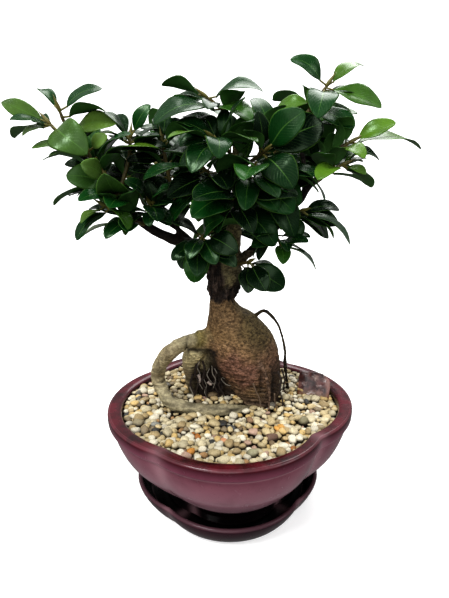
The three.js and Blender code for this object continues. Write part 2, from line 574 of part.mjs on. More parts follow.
function leavesMeet(a, b) {
  const middleA = leafPoint(a, 0.5, 0);
  const middleB = leafPoint(b, 0.5, 0);
  if (middleA.distanceTo(middleB) > (a.length + b.length) * nearShare + chainStep) return false;
  const rows = (leaf) => [...leafRows(leaf), ...leafCrossRows(leaf)];
  return rows(a).some((chain) => chainMeetsLeaf(b, chain, edgeClear, leafClear))
    || rows(b).some((chain) => chainMeetsLeaf(a, chain, edgeClear, leafClear));
}

// Chains along the wood and along each twig, with the radius to keep clear of.
function woodChains() {
  const chains = Object.values(woodRuns).map(({ line, radii }) => {
    const curve = new THREE.CatmullRomCurve3(line.map(vector), false, 'centripetal');
    const points = curve.getSpacedPoints(Math.ceil(curve.getLength() / chainStep));
    return { owner: 'wood', points, radius: Math.max(...radii) };
  });
  const trunk = stemLevels.slice(-trunkLevels).map(([height, left, right, , middle]) => (
    new THREE.Vector3((left + right) / 2, middle, height)));
  chains.push({ owner: 'wood', points: trunk, radius: trunkRadius });
  return chains;
}

function sprayPoints(spray) {
  return [sprayJoint(spray).twigStart, ...spray.twig.slice(1).map(vector)];
}

function twigChain(name, points) {
  const last = points[points.length - 1];
  const ahead = last.clone().sub(points[points.length - 2]).normalize();
  const all = [...points, last.clone().addScaledVector(ahead, budSteps[1][0])];
  const thirds = (from, to) => [1 / 3, 2 / 3, 1].map((t) => from.clone().lerp(to, t));
  const chain = all.flatMap((point, k) => (k === 0 ? [point] : thirds(all[k - 1], point)));
  return { owner: name, points: chain, radius: budSteps[0][1] };
}

// Every way to bend a leaf, with the slightest ones first: [size, degrees up, degrees aside].
const bendTries = bendSizes.flatMap((size) => bendLifts.flatMap((lift) => (
  bendTurns.map((turn) => [size, lift, turn]))));
const bendCost = ([size, lift, turn]) => (1 - size) * shortCost + Math.abs(lift) + Math.abs(turn);
bendTries.sort((a, b) => bendCost(a) - bendCost(b));

// Bends the tip round the stalk by small steps until the leaf is clear of everything that is not its own.
function bentClear(name, make, tip, stalk, placed, chains) {
  const reach = tip.clone().sub(stalk);
  const heading = Math.atan2(reach.y, reach.x);
  const pitch = Math.atan2(reach.z, Math.hypot(reach.x, reach.y));
  for (const [size, lift, turn] of bendTries) {
    const length = size * reach.length();
    const aside = heading + THREE.MathUtils.degToRad(turn);
    const raised = pitch + THREE.MathUtils.degToRad(lift);
    const leaf = make(new THREE.Vector3(length * Math.cos(raised) * Math.cos(aside),
      length * Math.cos(raised) * Math.sin(aside), length * Math.sin(raised)).add(stalk));
    const meetsLeaf = placed.some((other) => leavesMeet(leaf, other.leaf));
    const meetsWood = !meetsLeaf && chains.some((chain) => chain.owner !== name
      && chainMeetsLeaf(leaf, chain.points, chain.radius + woodClear, chain.radius + woodClear));
    if (!meetsLeaf && !meetsWood) return leaf;
  }
  return null;
}

// Places the named leaves of every spray first, and then those that the growth rule adds.
function growLeaves() {
  drawState = leafSeed;
  const placed = [];
  const chains = woodChains();
  const twigs = {};
  Object.entries(sprays).forEach(([name, spray]) => { twigs[name] = sprayPoints(spray); });
  Object.entries(twigs).forEach(([name, points]) => chains.push(twigChain(name, points)));
  const place = (name, stalk, tip, face, share) => {
    const arch = draw(...archRange);
    const fold = draw(...foldRange);
    const make = (end) => leafFrom(stalk, end, face, share, arch, fold);
    const leaf = bentClear(name, make, tip, stalk, placed, chains);
    if (leaf) placed.push({ name, leaf });
  };
  Object.entries(sprays).forEach(([name, spray]) => {
    spray.leaves.forEach(([share, x, y, z, face]) => {
      const width = face >= broadFace ? broadLeaf : narrowLeaf;
      place(name, twigPoint(twigs[name], share), vector([x, y, z]), face, width);
    });
  });
  Object.entries(sprays).forEach(([name, spray], order) => {
    const points = twigs[name];
    for (let k = 0; k < spray.more; k += 1) {
      const share = ruleStart + ((1 - ruleStart) * (k + 1)) / spray.more;
      const stalk = twigPoint(points, Math.min(share, 1));
      const along = points[points.length - 1].clone().sub(points[0]).normalize();
      const side = up.clone().addScaledVector(along, -up.dot(along)).normalize();
      const other = along.clone().cross(side);
      const angle = order + k * divergence;
      const spread = THREE.MathUtils.degToRad(draw(...ruleSpread));
      const outward = side.multiplyScalar(Math.cos(angle)).addScaledVector(other, Math.sin(angle));
      const reach = along.multiplyScalar(Math.cos(spread)).addScaledVector(outward, Math.sin(spread));
      const tip = stalk.clone().addScaledVector(reach, draw(...ruleLength));
      place(name, stalk, tip, ruleLean * Math.sin(angle), narrowLeaf);
    }
  });
  return placed;
}

function makeSpray(name, leaves) {
  const points = sprayPoints(sprays[name]);
  const last = points[points.length - 1];
  const along = last.clone().sub(points[points.length - 2]).normalize();
  const bud = budSteps.map(([ahead]) => last.clone().addScaledVector(along, ahead));
  const shrink = (k) => twigRadii[0] + ((twigRadii[1] - twigRadii[0]) * k) / (points.length - 1);
  const radii = [...points.map((_, k) => shrink(k)), ...budSteps.map((step) => step[1])];
  return joined([tube([...points, ...bud], radii, twigSides), ...leaves.map(makeLeafSolid)]);
}

const looks = {
  saucer: { color: '#4a1a26', roughness: 0.18 },
  pot: { color: '#5e2836', roughness: 0.2 },
  soil: { color: '#3a2a1e', roughness: 1 },
  gravel: { color: '#cdbb98', roughness: 0.75 },
  slab: { color: '#5f3a44', roughness: 0.25 },
  wood: { color: '#6a5740', roughness: 0.85 },
  leaves: { color: '#2c5a22', roughness: 0.35 },
};

function meshOf(name, solid, look) {
  const material = new THREE.MeshStandardMaterial({ ...look, metalness: 0 });
  const mesh = new THREE.Mesh(geometryOf(solid), material);
  mesh.name = name;
  return mesh;
}

const plant = new THREE.Group();
const rootHoles = makeRootHoles();
const pebbles = makePebbleField().intersect(potRoom(gravelBottom, potInner[0][1]));
plant.add(meshOf('saucer', makeSaucer(), looks.saucer));
plant.add(meshOf('pot', makePot(), looks.pot));
plant.add(meshOf('soil', potRoom(potFloor + restGap, soilTop).subtract(rootHoles), looks.soil));
plant.add(meshOf('gravel', pebbles.subtract(rootHoles).subtract(makeSlab(holeGap)), looks.gravel));
plant.add(meshOf('stone_slab', makeSlab(), looks.slab));
plant.add(meshOf('trunk_and_roots', makeWood(), looks.wood));
const grown = growLeaves();
Object.keys(sprays).forEach((name) => {
  const leaves = grown.filter((item) => item.name === name).map((item) => item.leaf);
  plant.add(meshOf(`spray_${name}`, makeSpray(name, leaves), looks.leaves));
});

export default plant;
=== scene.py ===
import math

import bpy
import numpy as np
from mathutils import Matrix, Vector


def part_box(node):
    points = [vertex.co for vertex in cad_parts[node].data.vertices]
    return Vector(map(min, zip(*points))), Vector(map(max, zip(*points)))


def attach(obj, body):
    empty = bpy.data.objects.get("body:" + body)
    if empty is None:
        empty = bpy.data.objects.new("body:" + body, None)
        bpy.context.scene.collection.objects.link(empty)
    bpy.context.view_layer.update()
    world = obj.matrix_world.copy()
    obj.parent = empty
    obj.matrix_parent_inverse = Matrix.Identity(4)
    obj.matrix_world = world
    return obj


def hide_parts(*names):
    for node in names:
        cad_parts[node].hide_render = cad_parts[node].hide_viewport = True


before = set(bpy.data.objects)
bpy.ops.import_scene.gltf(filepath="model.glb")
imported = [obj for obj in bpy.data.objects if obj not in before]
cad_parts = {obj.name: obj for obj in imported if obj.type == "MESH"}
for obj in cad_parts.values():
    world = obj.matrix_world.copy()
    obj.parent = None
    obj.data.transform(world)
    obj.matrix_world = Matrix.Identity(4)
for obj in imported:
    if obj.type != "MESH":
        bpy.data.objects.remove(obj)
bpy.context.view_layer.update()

mm = 0.001
print("frame loaded:", len(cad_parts), "nodes")


# Small helpers. All shapes below are worked out in millimetres.

def colour(text):
    # An sRGB colour such as "7a5060" as linear numbers with alpha.
    parts = np.array([int(text[i:i + 2], 16) for i in (0, 2, 4)]) / 255
    linear = np.where(parts < 0.04045, parts / 12.92, ((parts + 0.055) / 1.055) ** 2.4)
    return (*map(float, linear), 1.0)


def unit(vectors):
    return vectors / np.maximum(np.linalg.norm(vectors, axis=-1, keepdims=True), 1e-9)


# Large odd factors that scatter the cells of the noise, and the mask that keeps 32 bits.
scatter = {"cell": (374761393, 668265263, 974634777), "seed": 127417, "mix": 1274126177, "mask": 0xffffffff}


def latticeValue(cell, seed):
    # A fixed draw from -1 to 1 for each whole-numbered cell.
    mixed = (np.sum(cell * np.array(scatter["cell"]), axis=-1) + seed * scatter["seed"]) & scatter["mask"]
    mixed = ((mixed ^ (mixed >> 13)) * scatter["mix"]) & scatter["mask"]
    return (mixed ^ (mixed >> 16)) / 2 ** 31 - 1


def smoothNoise(points, size, seed):
    # Draws at the corners of cells of the given size, blended smoothly across each cell.
    place = np.asarray(points, float) / np.asarray(size, float)
    low = np.floor(place).astype(np.int64)
    part = place - low
    part = part * part * (3 - 2 * part)
    total = 0
    for corner in np.ndindex(2, 2, 2):
        weight = np.prod(np.where(np.array(corner) == 1, part, 1 - part), axis=-1)
        total = total + weight * latticeValue(low + np.array(corner), seed)
    return total


def layeredNoise(points, size, layers, seed):
    # Each layer has half the cell size and half the strength of the one before.
    size = np.asarray(size, float)
    return sum(smoothNoise(points, size / 2 ** k, seed + k) / 2 ** k for k in range(layers))


def smoothPath(points, count):
    # A smooth line through every point, as Catmull-Rom pieces of equal share, with count samples.
    points = np.asarray(points, float)
    padded = np.vstack([2 * points[0] - points[1], points, 2 * points[-1] - points[-2]])
    place = np.linspace(0, len(points) - 1, count)
    k = np.minimum(place.astype(int), len(points) - 2)
    t = (place - k)[:, None]
    a, b, c, d = (padded[k + i] for i in range(4))
    return 0.5 * (2 * b + (c - a) * t + (2 * a - 5 * b + 4 * c - d) * t ** 2
                  + (3 * b - a - 3 * c + d) * t ** 3)


def evenPath(points, step):
    # The same line with samples about step apart along its length.
    fine = smoothPath(points, 40 * len(points))
    along = np.concatenate([[0], np.cumsum(np.linalg.norm(np.diff(fine, axis=0), axis=1))])
    count = max(3, int(along[-1] / step) + 1)
    places = np.linspace(0, along[-1], count)
    return np.stack([np.interp(places, along, fine[:, i]) for i in range(3)], axis=1)


def gridFaces(rows, columns, wrapRows=False, wrapColumns=False):
    # Four corners for each cell of a grid of points that is stored row by row.
    r, c = np.meshgrid(np.arange(rows - (not wrapRows)), np.arange(columns - (not wrapColumns)),
                       indexing="ij")
    r1, c1 = (r + 1) % rows, (c + 1) % columns
    corners = [r * columns + c, r * columns + c1, r1 * columns + c1, r1 * columns + c]
    return np.stack(corners, -1).reshape(-1, 4)


def poleFans(count, around, flipped=False):
    # Triangles that close the first and the last ring. The two poles are stored after all the rings.
    i = np.arange(around)
    fans = []
    for pole, start, turned in ((count, 0, not flipped), (count + 1, count - around, flipped)):
        ring = [start + i, start + (i + 1) % around]
        fans.append(np.stack([np.full(around, pole), *(ring[::-1] if turned else ring)], -1))
    return np.vstack(fans)


def placePoints(mesh, points):
    mesh.vertices.foreach_set("co", (np.asarray(points) * mm).astype(np.float32).ravel())
    mesh.update()


def makeMesh(name, points, quads, tris=None):
    # Puts whole arrays of points and faces into a new smooth-shaded mesh.
    mesh = bpy.data.meshes.new(name)
    quads = np.asarray(quads).reshape(-1, 4)
    tris = np.zeros((0, 3), int) if tris is None else np.asarray(tris).reshape(-1, 3)
    mesh.vertices.add(len(points))
    mesh.vertices.foreach_set("co", (np.asarray(points) * mm).astype(np.float32).ravel())
    corners = np.concatenate([quads.ravel(), tris.ravel()]).astype(np.int32)
    mesh.loops.add(len(corners))
    mesh.loops.foreach_set("vertex_index", corners)
    starts = np.concatenate([np.arange(len(quads)) * 4, len(quads) * 4 + np.arange(len(tris)) * 3])
    mesh.polygons.add(len(starts))
    mesh.polygons.foreach_set("loop_start", starts.astype(np.int32))
    mesh.polygons.foreach_set("use_smooth", np.ones(len(starts), bool))
    mesh.update(calc_edges=True)
    mesh.validate()
    return mesh


def addValues(mesh, **layers):
    # One number or one colour for each point, in each named layer.
    for name, values in layers.items():
        values = np.asarray(values, np.float32)
        single = values.ndim == 1
        if not single:
            values = np.hstack([values, np.ones((len(values), 1), np.float32)])
        layer = mesh.attributes.new(name, "FLOAT" if single else "FLOAT_COLOR", "POINT")
        layer.data.foreach_set("value" if single else "color", values.ravel())


def addPiece(name, mesh, materials, nodes):
    # Dresses a mesh, hangs it on the one body and hides the solids it stands for.
    piece = bpy.data.objects.new(name, mesh)
    bpy.context.scene.collection.objects.link(piece)
    for material in materials:
        mesh.materials.append(material)
    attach(piece, "root")
    if nodes:
        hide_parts(*nodes)
    return piece


class Bundle:
    # Gathers several surfaces, with their point values, into one mesh.
    def __init__(self):
        self.points, self.quads, self.tris, self.kinds = [], [], [], []
        self.values = {}
        self.count = 0

    def add(self, points, quads, tris=None, kind=0, **values):
        points = np.asarray(points, float).reshape(-1, 3)
        self.quads.append(np.asarray(quads).reshape(-1, 4) + self.count)
        self.tris.append((np.zeros((0, 3), int) if tris is None else np.asarray(tris)) + self.count)
        self.kinds.append((kind, len(self.quads[-1]), len(self.tris[-1])))
        self.points.append(points)
        for key, value in values.items():
            value = np.asarray(value, float)
            full = np.broadcast_to(value, (len(points), *value.shape[1:])) if value.ndim < 2 else value
            self.values.setdefault(key, []).append(full)
        self.count += len(points)

    def mesh(self, name):
        made = makeMesh(name, np.vstack(self.points), np.vstack(self.quads), np.vstack(self.tris))
        addValues(made, **{key: np.concatenate(parts) for key, parts in self.values.items()})
        slots = [np.full(count, kind) for kind, count, _ in self.kinds]
        slots = slots + [np.full(count, kind) for kind, _, count in self.kinds]
        made.polygons.foreach_set("material_index", np.concatenate(slots).astype(np.int32))
        return made


def tube(path, radii, around):
    # Rings square to a path, each turned as little as possible from the one before, with a pole at each end.
    path = np.asarray(path, float)
    radii = np.broadcast_to(np.asarray(radii, float), len(path))
    along = unit(np.gradient(path, axis=0))
    side = unit(np.cross(along[0], [0.31, 0.22, 0.93]))
    sides = [side]
    for direction in along[1:]:
        side = unit(side - direction * (side @ direction))
        sides.append(side)
    sides = np.array(sides)
    other = np.cross(along, sides)
    angle = np.arange(around) * 2 * math.pi / around
    ring = sides[:, None] * np.cos(angle)[None, :, None] + other[:, None] * np.sin(angle)[None, :, None]
    points = (path[:, None] + ring * radii[:, None, None]).reshape(-1, 3)
    last = len(points)
    points = np.vstack([points, path[0], path[-1]])
    return points, gridFaces(len(path), around, wrapColumns=True), poleFans(last, around)


# Materials. Each helper adds one kind of shader node and gives back what it puts out.

class Finish:
    def __init__(self, name, **sockets):
        self.material = bpy.data.materials.new(name)
        self.material.use_nodes = True
        self.tree = self.material.node_tree
        self.shader = self.tree.nodes["Principled BSDF"]
        for key, value in sockets.items():
            self.shader.inputs[key.replace("_", " ")].default_value = value

    def node(self, kind, inputs=None, **settings):
        made = self.tree.nodes.new(kind)
        for key, value in settings.items():
            setattr(made, key, value)
        for key, value in (inputs or {}).items():
            self.put(made.inputs[key], value)
        return made

    def put(self, socket, value):
        if isinstance(value, bpy.types.NodeSocket):
            self.tree.links.new(value, socket)
        else:
            socket.default_value = value

    def coords(self):
        return self.node("ShaderNodeTexCoord").outputs["Object"]

    def stretched(self, scale):
        return self.node("ShaderNodeMapping", {"Vector": self.coords(), "Scale": scale}).outputs["Vector"]

    def value(self, name, output="Fac"):
        return self.node("ShaderNodeAttribute", attribute_name=name).outputs[output]

    def noise(self, vector, size, detail=3.0, roughness=0.55):
        # size is how wide one blot is, in millimetres.
        settings = {"Vector": vector, "Scale": 1000 / size, "Detail": detail, "Roughness": roughness}
        return self.node("ShaderNodeTexNoise", settings).outputs["Fac"]

    def cells(self, vector, size, feature="F1"):
        # size is how wide one cell is, in millimetres.
        made = self.node("ShaderNodeTexVoronoi", {"Vector": vector, "Scale": 1000 / size}, feature=feature)
        return made.outputs["Distance"]

    def maths(self, kind, a, b=0.0):
        return self.node("ShaderNodeMath", {0: a, 1: b}, operation=kind).outputs[0]

    def times(self, a, b):
        return self.maths("MULTIPLY", a, b)

    def span(self, value, low, high, toLow=0.0, toHigh=1.0):
        # Takes low to toLow and high to toHigh, and goes no further past either.
        made = self.node("ShaderNodeMapRange", {"Value": value, "From Min": low, "From Max": high,
                                                "To Min": toLow, "To Max": toHigh})
        return made.outputs["Result"]

    def mix(self, share, a, b, kind="MIX"):
        made = self.node("ShaderNodeMix", data_type="RGBA", blend_type=kind)
        self.put(made.inputs["Factor"], share)
        self.put(made.inputs["A"], a)
        self.put(made.inputs["B"], b)
        return made.outputs["Result"]

    def over(self, body, tint, share):
        # Lays a named colour over the body by a share.
        return self.mix(share, body, colour(tint))

    def paint(self, value):
        self.put(self.shader.inputs["Base Color"], value)

    def rough(self, value):
        self.put(self.shader.inputs["Roughness"], value)

    def relief(self, height, depth):
        # depth is in millimetres.
        made = self.node("ShaderNodeBump", {"Height": height, "Strength": 1.0, "Distance": depth * mm})
        self.put(self.shader.inputs["Normal"], made.outputs["Normal"])


# Camera, light and floor.

camera = {"place": (-0.0058, -0.2962, 0.2224), "down": 13.67, "lens": 26.0}
suns = {
    "key": {"place": (-0.9, -0.8, 1.7), "spread": 20, "power": 2.0},
    "back": {"place": (0.4, 1.3, 1.9), "spread": 40, "power": 1.5},
    "side": {"place": (1.5, -0.6, 1.0), "spread": 30, "power": 0.6},
    "front": {"place": (-0.4, -1.6, 0.4), "spread": 50, "power": 1.1},
}
# The sky fades from its lowest strength, a little under level, to its greatest overhead.
backdrop = {
    "size": 60.0, "tone": 0.8, "glow": 0.42, "roughness": 0.9, "gloss": 0.1, "look": "Medium High Contrast",
    "below": 0.2, "overhead": 0.62, "fadeFrom": -0.2, "seen": 1.6,
}
white = (1, 1, 1, 1)


def aimed(thing, place):
    # Turns a lamp or a camera that stands at a place towards the middle.
    flat = math.hypot(place[0], place[1])
    thing.location = place
    thing.rotation_euler = (math.atan2(flat, place[2]), 0, math.atan2(place[0], -place[1]))


def makeSky():
    # White where the camera looks past the floor. What falls on the object is softer: dim from below and
    # brighter towards the ceiling.
    sky = bpy.data.worlds.new("studio")
    sky.use_nodes = True
    tree = sky.node_tree
    upward = tree.nodes.new("ShaderNodeSeparateXYZ")
    tree.links.new(tree.nodes.new("ShaderNodeTexCoord").outputs["Generated"], upward.inputs[0])
    fade = tree.nodes.new("ShaderNodeMapRange")
    fade.inputs["From Min"].default_value = backdrop["fadeFrom"]
    fade.inputs["To Min"].default_value = backdrop["below"]
    fade.inputs["To Max"].default_value = backdrop["overhead"]
    tree.links.new(upward.outputs["Z"], fade.inputs["Value"])
    soft = tree.nodes["Background"]
    tree.links.new(fade.outputs["Result"], soft.inputs["Strength"])
    soft.inputs["Color"].default_value = white
    bright = tree.nodes.new("ShaderNodeBackground")
    bright.inputs["Strength"].default_value = backdrop["seen"]
    bright.inputs["Color"].default_value = white
    choice = tree.nodes.new("ShaderNodeMixShader")
    tree.links.new(tree.nodes.new("ShaderNodeLightPath").outputs["Is Camera Ray"], choice.inputs["Fac"])
    tree.links.new(soft.outputs[0], choice.inputs[1])
    tree.links.new(bright.outputs[0], choice.inputs[2])
    tree.links.new(choice.outputs[0], tree.nodes["World Output"].inputs["Surface"])
    bpy.context.scene.world = sky


def makeStudio():
    scene = bpy.context.scene
    data = bpy.data.cameras.new("camera")
    data.lens = camera["lens"]
    data.clip_start = 0.01
    eye = bpy.data.objects.new("camera", data)
    eye.location = camera["place"]
    eye.rotation_euler = (math.radians(90 - camera["down"]), 0, 0)
    scene.collection.objects.link(eye)
    scene.camera = eye
    for name, light in suns.items():
        lamp = bpy.data.lights.new(name, "SUN")
        lamp.angle = math.radians(light["spread"])
        lamp.energy = light["power"]
        lampObject = bpy.data.objects.new(name, lamp)
        aimed(lampObject, light["place"])
        scene.collection.objects.link(lampObject)
    half = backdrop["size"] / 2 / mm
    corners = [[-half, -half, 0], [half, -half, 0], [half, half, 0], [-half, half, 0]]
    floorMesh = makeMesh("floor", corners, [[0, 1, 2, 3]])
    floor = bpy.data.objects.new("floor", floorMesh)
    scene.collection.objects.link(floor)
    paper = Finish("paleFloor", Roughness=backdrop["roughness"], Base_Color=(*[backdrop["tone"]] * 3, 1.0),
                   Specular_IOR_Level=backdrop["gloss"], Emission_Color=white,
                   Emission_Strength=backdrop["glow"])
    floorMesh.materials.append(paper.material)
    # The floor is seen, but it throws no light up at the object.
    floor.visible_diffuse = False
    floor.visible_glossy = False
    floor.visible_transmission = False
    makeSky()
    scene.view_settings.view_transform = "Standard"
    scene.view_settings.look = backdrop["look"]
    print("studio made")


# Glazed pot and saucer. A profile is a list of (radius to the middle of a lobe, height). The outline is
# four circles: middle x, middle y and radius, as shares of the profile's radius.

pot = {
    "circles": [(0.196, 0.081, 0.803), (-0.032, 0.284, 0.7955), (-0.163, -0.012, 0.854),
                (-0.022, -0.256, 0.73)],
    "creases": (53, 142, 236, 316), "shift": 0.0, "perLobe": 80, "steps": 170, "soft": 240,
    "profile": [(44, 12.2), (20, 12.1), (8.2, 12), (7.5, 11.2), (7.5, 8.8), (8.2, 8), (20, 7.9),
                (42, 7.9), (43.6, 7), (44, 5.9), (45.2, 5.4), (49.2, 5.4), (50.2, 6.2), (50.4, 9),
                (51.3, 13.6), (56, 19), (62.2, 25), (69.6, 32.4), (76.2, 40), (79.6, 45), (82.2, 50.4),
                (84.6, 57), (86.1, 63.2), (86.3, 64.6), (86.7, 65.5), (88.1, 66.1), (88.9, 67.2),
                (89.1, 69.6), (89.1, 71.8), (88.7, 73.3), (87.6, 74), (86.4, 74), (83.6, 73.9),
                (81.4, 73.5), (80, 72.7), (79.2, 71.2), (78.8, 69), (78.6, 64), (77.8, 57.6),
                (73.6, 46.6), (66.2, 36), (55.4, 24), (46.5, 14.4)],
}
saucerLobe, saucerTurn = 0.2, 5
saucerWays = [math.radians(saucerTurn + 90 * k) for k in range(4)]
saucer = {
    "circles": [(saucerLobe * math.cos(way), saucerLobe * math.sin(way), 1 - saucerLobe)
                for way in saucerWays],
    "creases": (50, 140, 230, 320), "shift": -3.2, "perLobe": 72, "steps": 96, "soft": 240,
    "profile": [(0.01, 0.4), (20, 0.4), (50, 0.35), (52.5, 0.02), (57, 0), (58.8, 0.6), (60.4, 2.2),
                (62.8, 5.2), (65, 8.5), (66.8, 11.8), (68, 14.6), (68.5, 16.4), (68, 17.4), (66.9, 17.7),
                (65.7, 17.2), (64.5, 15.6), (62.9, 12), (60.6, 7.6), (58.6, 5.7), (55.5, 5.1), (40, 5),
                (0.01, 5)],
}
# Both shells: samples along the smooth profile, extra ones where it turns, the round part near the
# drainage hole and how far it takes to become lobed, the bend that counts as an edge, the crease's width
# in radians, and how far the directions crowd together at the creases.
shell = {"fine": 60, "turnShare": 0.9, "roundTo": 12, "lobedOver": 14, "edgeBend": 0.5, "crease": 0.075,
         "crowd": 0.8}


def lobeReach(circles, angle, soft):
    # The furthest of the circles in each direction, for a profile radius of one. The creases between them
    # are rounded: the log of a sum of powers, which is hardly more than the greatest alone.
    x, y, radius = np.array(circles).T.reshape(3, -1, *[1] * np.ndim(angle))
    ahead = x * np.cos(angle) + y * np.sin(angle)
    aside = x * np.sin(angle) - y * np.cos(angle)
    reaches = ahead + np.sqrt(radius ** 2 - aside ** 2)
    top = reaches.max(axis=0)
    return top + np.log(np.exp((reaches - top) * soft).sum(axis=0)) / soft


def lobeAngles(look):
    # Directions round the pot, close together at the creases and wider apart between them.
    share = np.arange(look["perLobe"]) / look["perLobe"]
    eased = share - shell["crowd"] * np.sin(2 * math.pi * share) / (2 * math.pi)
    creases = np.radians(look["creases"])
    sweeps = (np.roll(creases, -1) - creases) % (2 * math.pi)
    return (creases[:, None] + sweeps[:, None] * eased).ravel()


def lobedShell(look, closed):
    # The profile, made smooth, carried round the middle with its radius following the lobes. It also gives
    # each point's bend, its nearness to a crease, and whether it lies past the highest ring.
    profile = np.array([(r, z, 0) for r, z in look["profile"]], float)
    if closed:
        profile = np.vstack([profile, profile[0]])
    fine = smoothPath(profile, shell["fine"] * len(profile))
    run = np.concatenate([[0], np.cumsum(np.linalg.norm(np.diff(fine, axis=0), axis=1))])
    # More samples go where the profile turns sharply.
    heading = np.unwrap(np.arctan2(*np.gradient(fine[:, :2], axis=0).T[::-1]))
    turned = np.concatenate([[0], np.cumsum(np.abs(np.diff(heading)))])
    effort = run / run[-1] + shell["turnShare"] * turned / (2 * math.pi)
    places = np.interp(np.linspace(0, effort[-1], look["steps"]), effort, run)
    radius, height = (np.interp(places, run, fine[:, i]) for i in (0, 1))
    bend = np.interp(places, run, np.gradient(heading, np.maximum(run, 1e-9) + 1e-6 * np.arange(len(run))))
    if closed:
        radius, height, bend = radius[:-1], height[:-1], bend[:-1]
    angle = lobeAngles(look)
    share = lobeReach(look["circles"], angle, look["soft"])
    lobed = np.clip((radius - shell["roundTo"]) / shell["lobedOver"], 0, 1)[:, None]
    reach = radius[:, None] * (1 + (share[None] - 1) * lobed)
    points = np.stack([reach * np.cos(angle) + look["shift"], reach * np.sin(angle),
                       np.broadcast_to(height[:, None], reach.shape)], -1)
    edge = np.clip(np.abs(bend) / shell["edgeBend"], 0, 1)
    creases = np.radians(look["creases"])[:, None]
    away = np.min(np.abs((angle - creases + math.pi) % (2 * math.pi) - math.pi), axis=0)
    dent = np.tile(np.exp(-(away / shell["crease"]) ** 2), len(radius))
    quads = gridFaces(len(radius), len(angle), wrapRows=closed, wrapColumns=True)
    inner = np.repeat((np.arange(len(radius)) > np.argmax(height)).astype(float), len(angle))
    return points.reshape(-1, 3), quads, np.repeat(edge, len(angle)), dent, inner


glaze = {
    # The near blacks are painted shade: low on the pot, on its inner wall and inside the saucer; one also
    # makes the specks.
    "bandLow": "82485a", "band": "3a101a", "top": "8a5361", "middle": "b07f8c", "bottom": "cba0ac",
    "deep": "4a1c28", "rim": "5a1120", "rimDark": "2c060c", "wall": "1a070b", "thin": "bd929a",
    "foot": "0f0508", "saucer": "3c1824", "darkShadeAndSpeck": "060303", "saucerRim": "2e1821",
    # Between which heights in millimetres one colour gives way to the next.
    "toTop": (42, 62), "toBottomReflection": (42, 31), "toBand": (67, 72.5), "bandFrom": (64.5, 66),
    "lineHighlightFrom": (63.6, 64.4), "lineHighlightTo": (64.6, 65.4), "toFootShade": (27, 21), "toRim": (71.6, 73.4),
    "toWallShade": (72.4, 70.6), "toSaucerRim": (16.2, 17.4), "creaseHighlightFades": (65, 72.5),
    # How much of the pale colour shows: a painted highlight at the line, thinner glaze with a painted
    # highlight on the edges, and a painted highlight in the creases.
    "line": 0.35, "edges": 0.1, "bowlCreaseHighlight": 0.5, "rimCreaseHighlight": 0.2, "saucerCreaseHighlight": 0.18,
}


def glazeFinish(name, forPot):
    # Oxblood glaze: mauve over the bowl, paling downwards as a painted reflection, deep red over the rim, and
    # near black as painted shade low down, on the inner wall and inside the saucer; paler on the edges, where
    # the glaze is thinner and a highlight is painted, and a painted highlight at the incised line and in the
    # creases.
    finish = Finish(name, Coat_Weight=0.25 if forPot else 0.1, Coat_Roughness=0.06, IOR=1.42,
                    Specular_IOR_Level=0.3 if forPot else 0.18)
    place = finish.coords()
    height = finish.node("ShaderNodeSeparateXYZ", {"Vector": place}).outputs["Z"]
    inside = finish.span(finish.value("inner"), 0.4, 0.6)

    def climb(key, toLow=0.0, toHigh=1.0):
        low, high = glaze[key]
        return finish.span(height, low * mm, high * mm, toLow, toHigh)

    if forPot:
        # From the foot up: painted shade, pale mauve as a painted reflection, mauve, a painted highlight at
        # the incised line, the band and the rim's top.
        body = finish.over(colour(glaze["middle"]), glaze["top"], climb("toTop"))
        # Paler towards the bottom of the bowl: a painted reflection.
        body = finish.over(body, glaze["bottom"], climb("toBottomReflection"))
        band = finish.over(colour(glaze["bandLow"]), glaze["band"], climb("toBand"))
        body = finish.mix(climb("bandFrom"), body, band)
        # A pale line under the incised line: a painted highlight.
        body = finish.over(body, glaze["thin"], climb("lineHighlightFrom", 0, glaze["line"]))
        body = finish.mix(climb("lineHighlightTo"), body, band)
        body = finish.over(body, glaze["deep"], finish.span(finish.noise(place, 20, 3), 0.42, 0.7, 0, 0.3))
        # Near black low on the bowl and on the foot: painted shade.
        body = finish.over(body, glaze["foot"], climb("toFootShade"))
        streaks = finish.span(finish.noise(place, 12, 3), 0.4, 0.65)
        rim = finish.over(colour(glaze["rim"]), glaze["rimDark"], streaks)
        body = finish.mix(climb("toRim"), body, rim)
        # Pale streaks down the creases: a painted highlight.
        pale = finish.times(finish.value("dent"),
                            climb("creaseHighlightFades", glaze["bowlCreaseHighlight"], glaze["rimCreaseHighlight"]))
        body = finish.over(body, glaze["thin"], pale)
        # Near black on the inner wall under the rim: painted shade.
        body = finish.over(body, glaze["wall"], finish.times(inside, climb("toWallShade")))
    else:
        cloud = finish.span(finish.noise(place, 26, 3), 0.36, 0.66)
        body = finish.over(colour(glaze["saucer"]), glaze["saucerRim"], cloud)
        # Near black inside the saucer: painted shade.
        body = finish.over(body, glaze["darkShadeAndSpeck"], inside)
        body = finish.over(body, glaze["saucerRim"], climb("toSaucerRim", 0, 0.8))
        # Pale streaks down the saucer's creases: a painted highlight.
        pale = finish.times(finish.value("dent"), glaze["saucerCreaseHighlight"])
        body = finish.over(body, glaze["thin"], pale)
    speck = finish.span(finish.cells(place, 2.6), 0.0, 0.16, 0.4, 0.0)
    body = finish.over(body, glaze["darkShadeAndSpeck"], speck)
    # Paler on sharp edges: thinner glaze, and a painted highlight.
    thin = finish.times(finish.span(finish.value("edge"), 0.6, 1.0), glaze["edges"])
    finish.paint(finish.over(body, glaze["thin"], thin))
    finish.rough(finish.span(finish.noise(place, 5, 3), 0.3, 0.7, 0.18, 0.28))
    finish.relief(finish.noise(place, 8, 2), 0.1)
    return finish.material


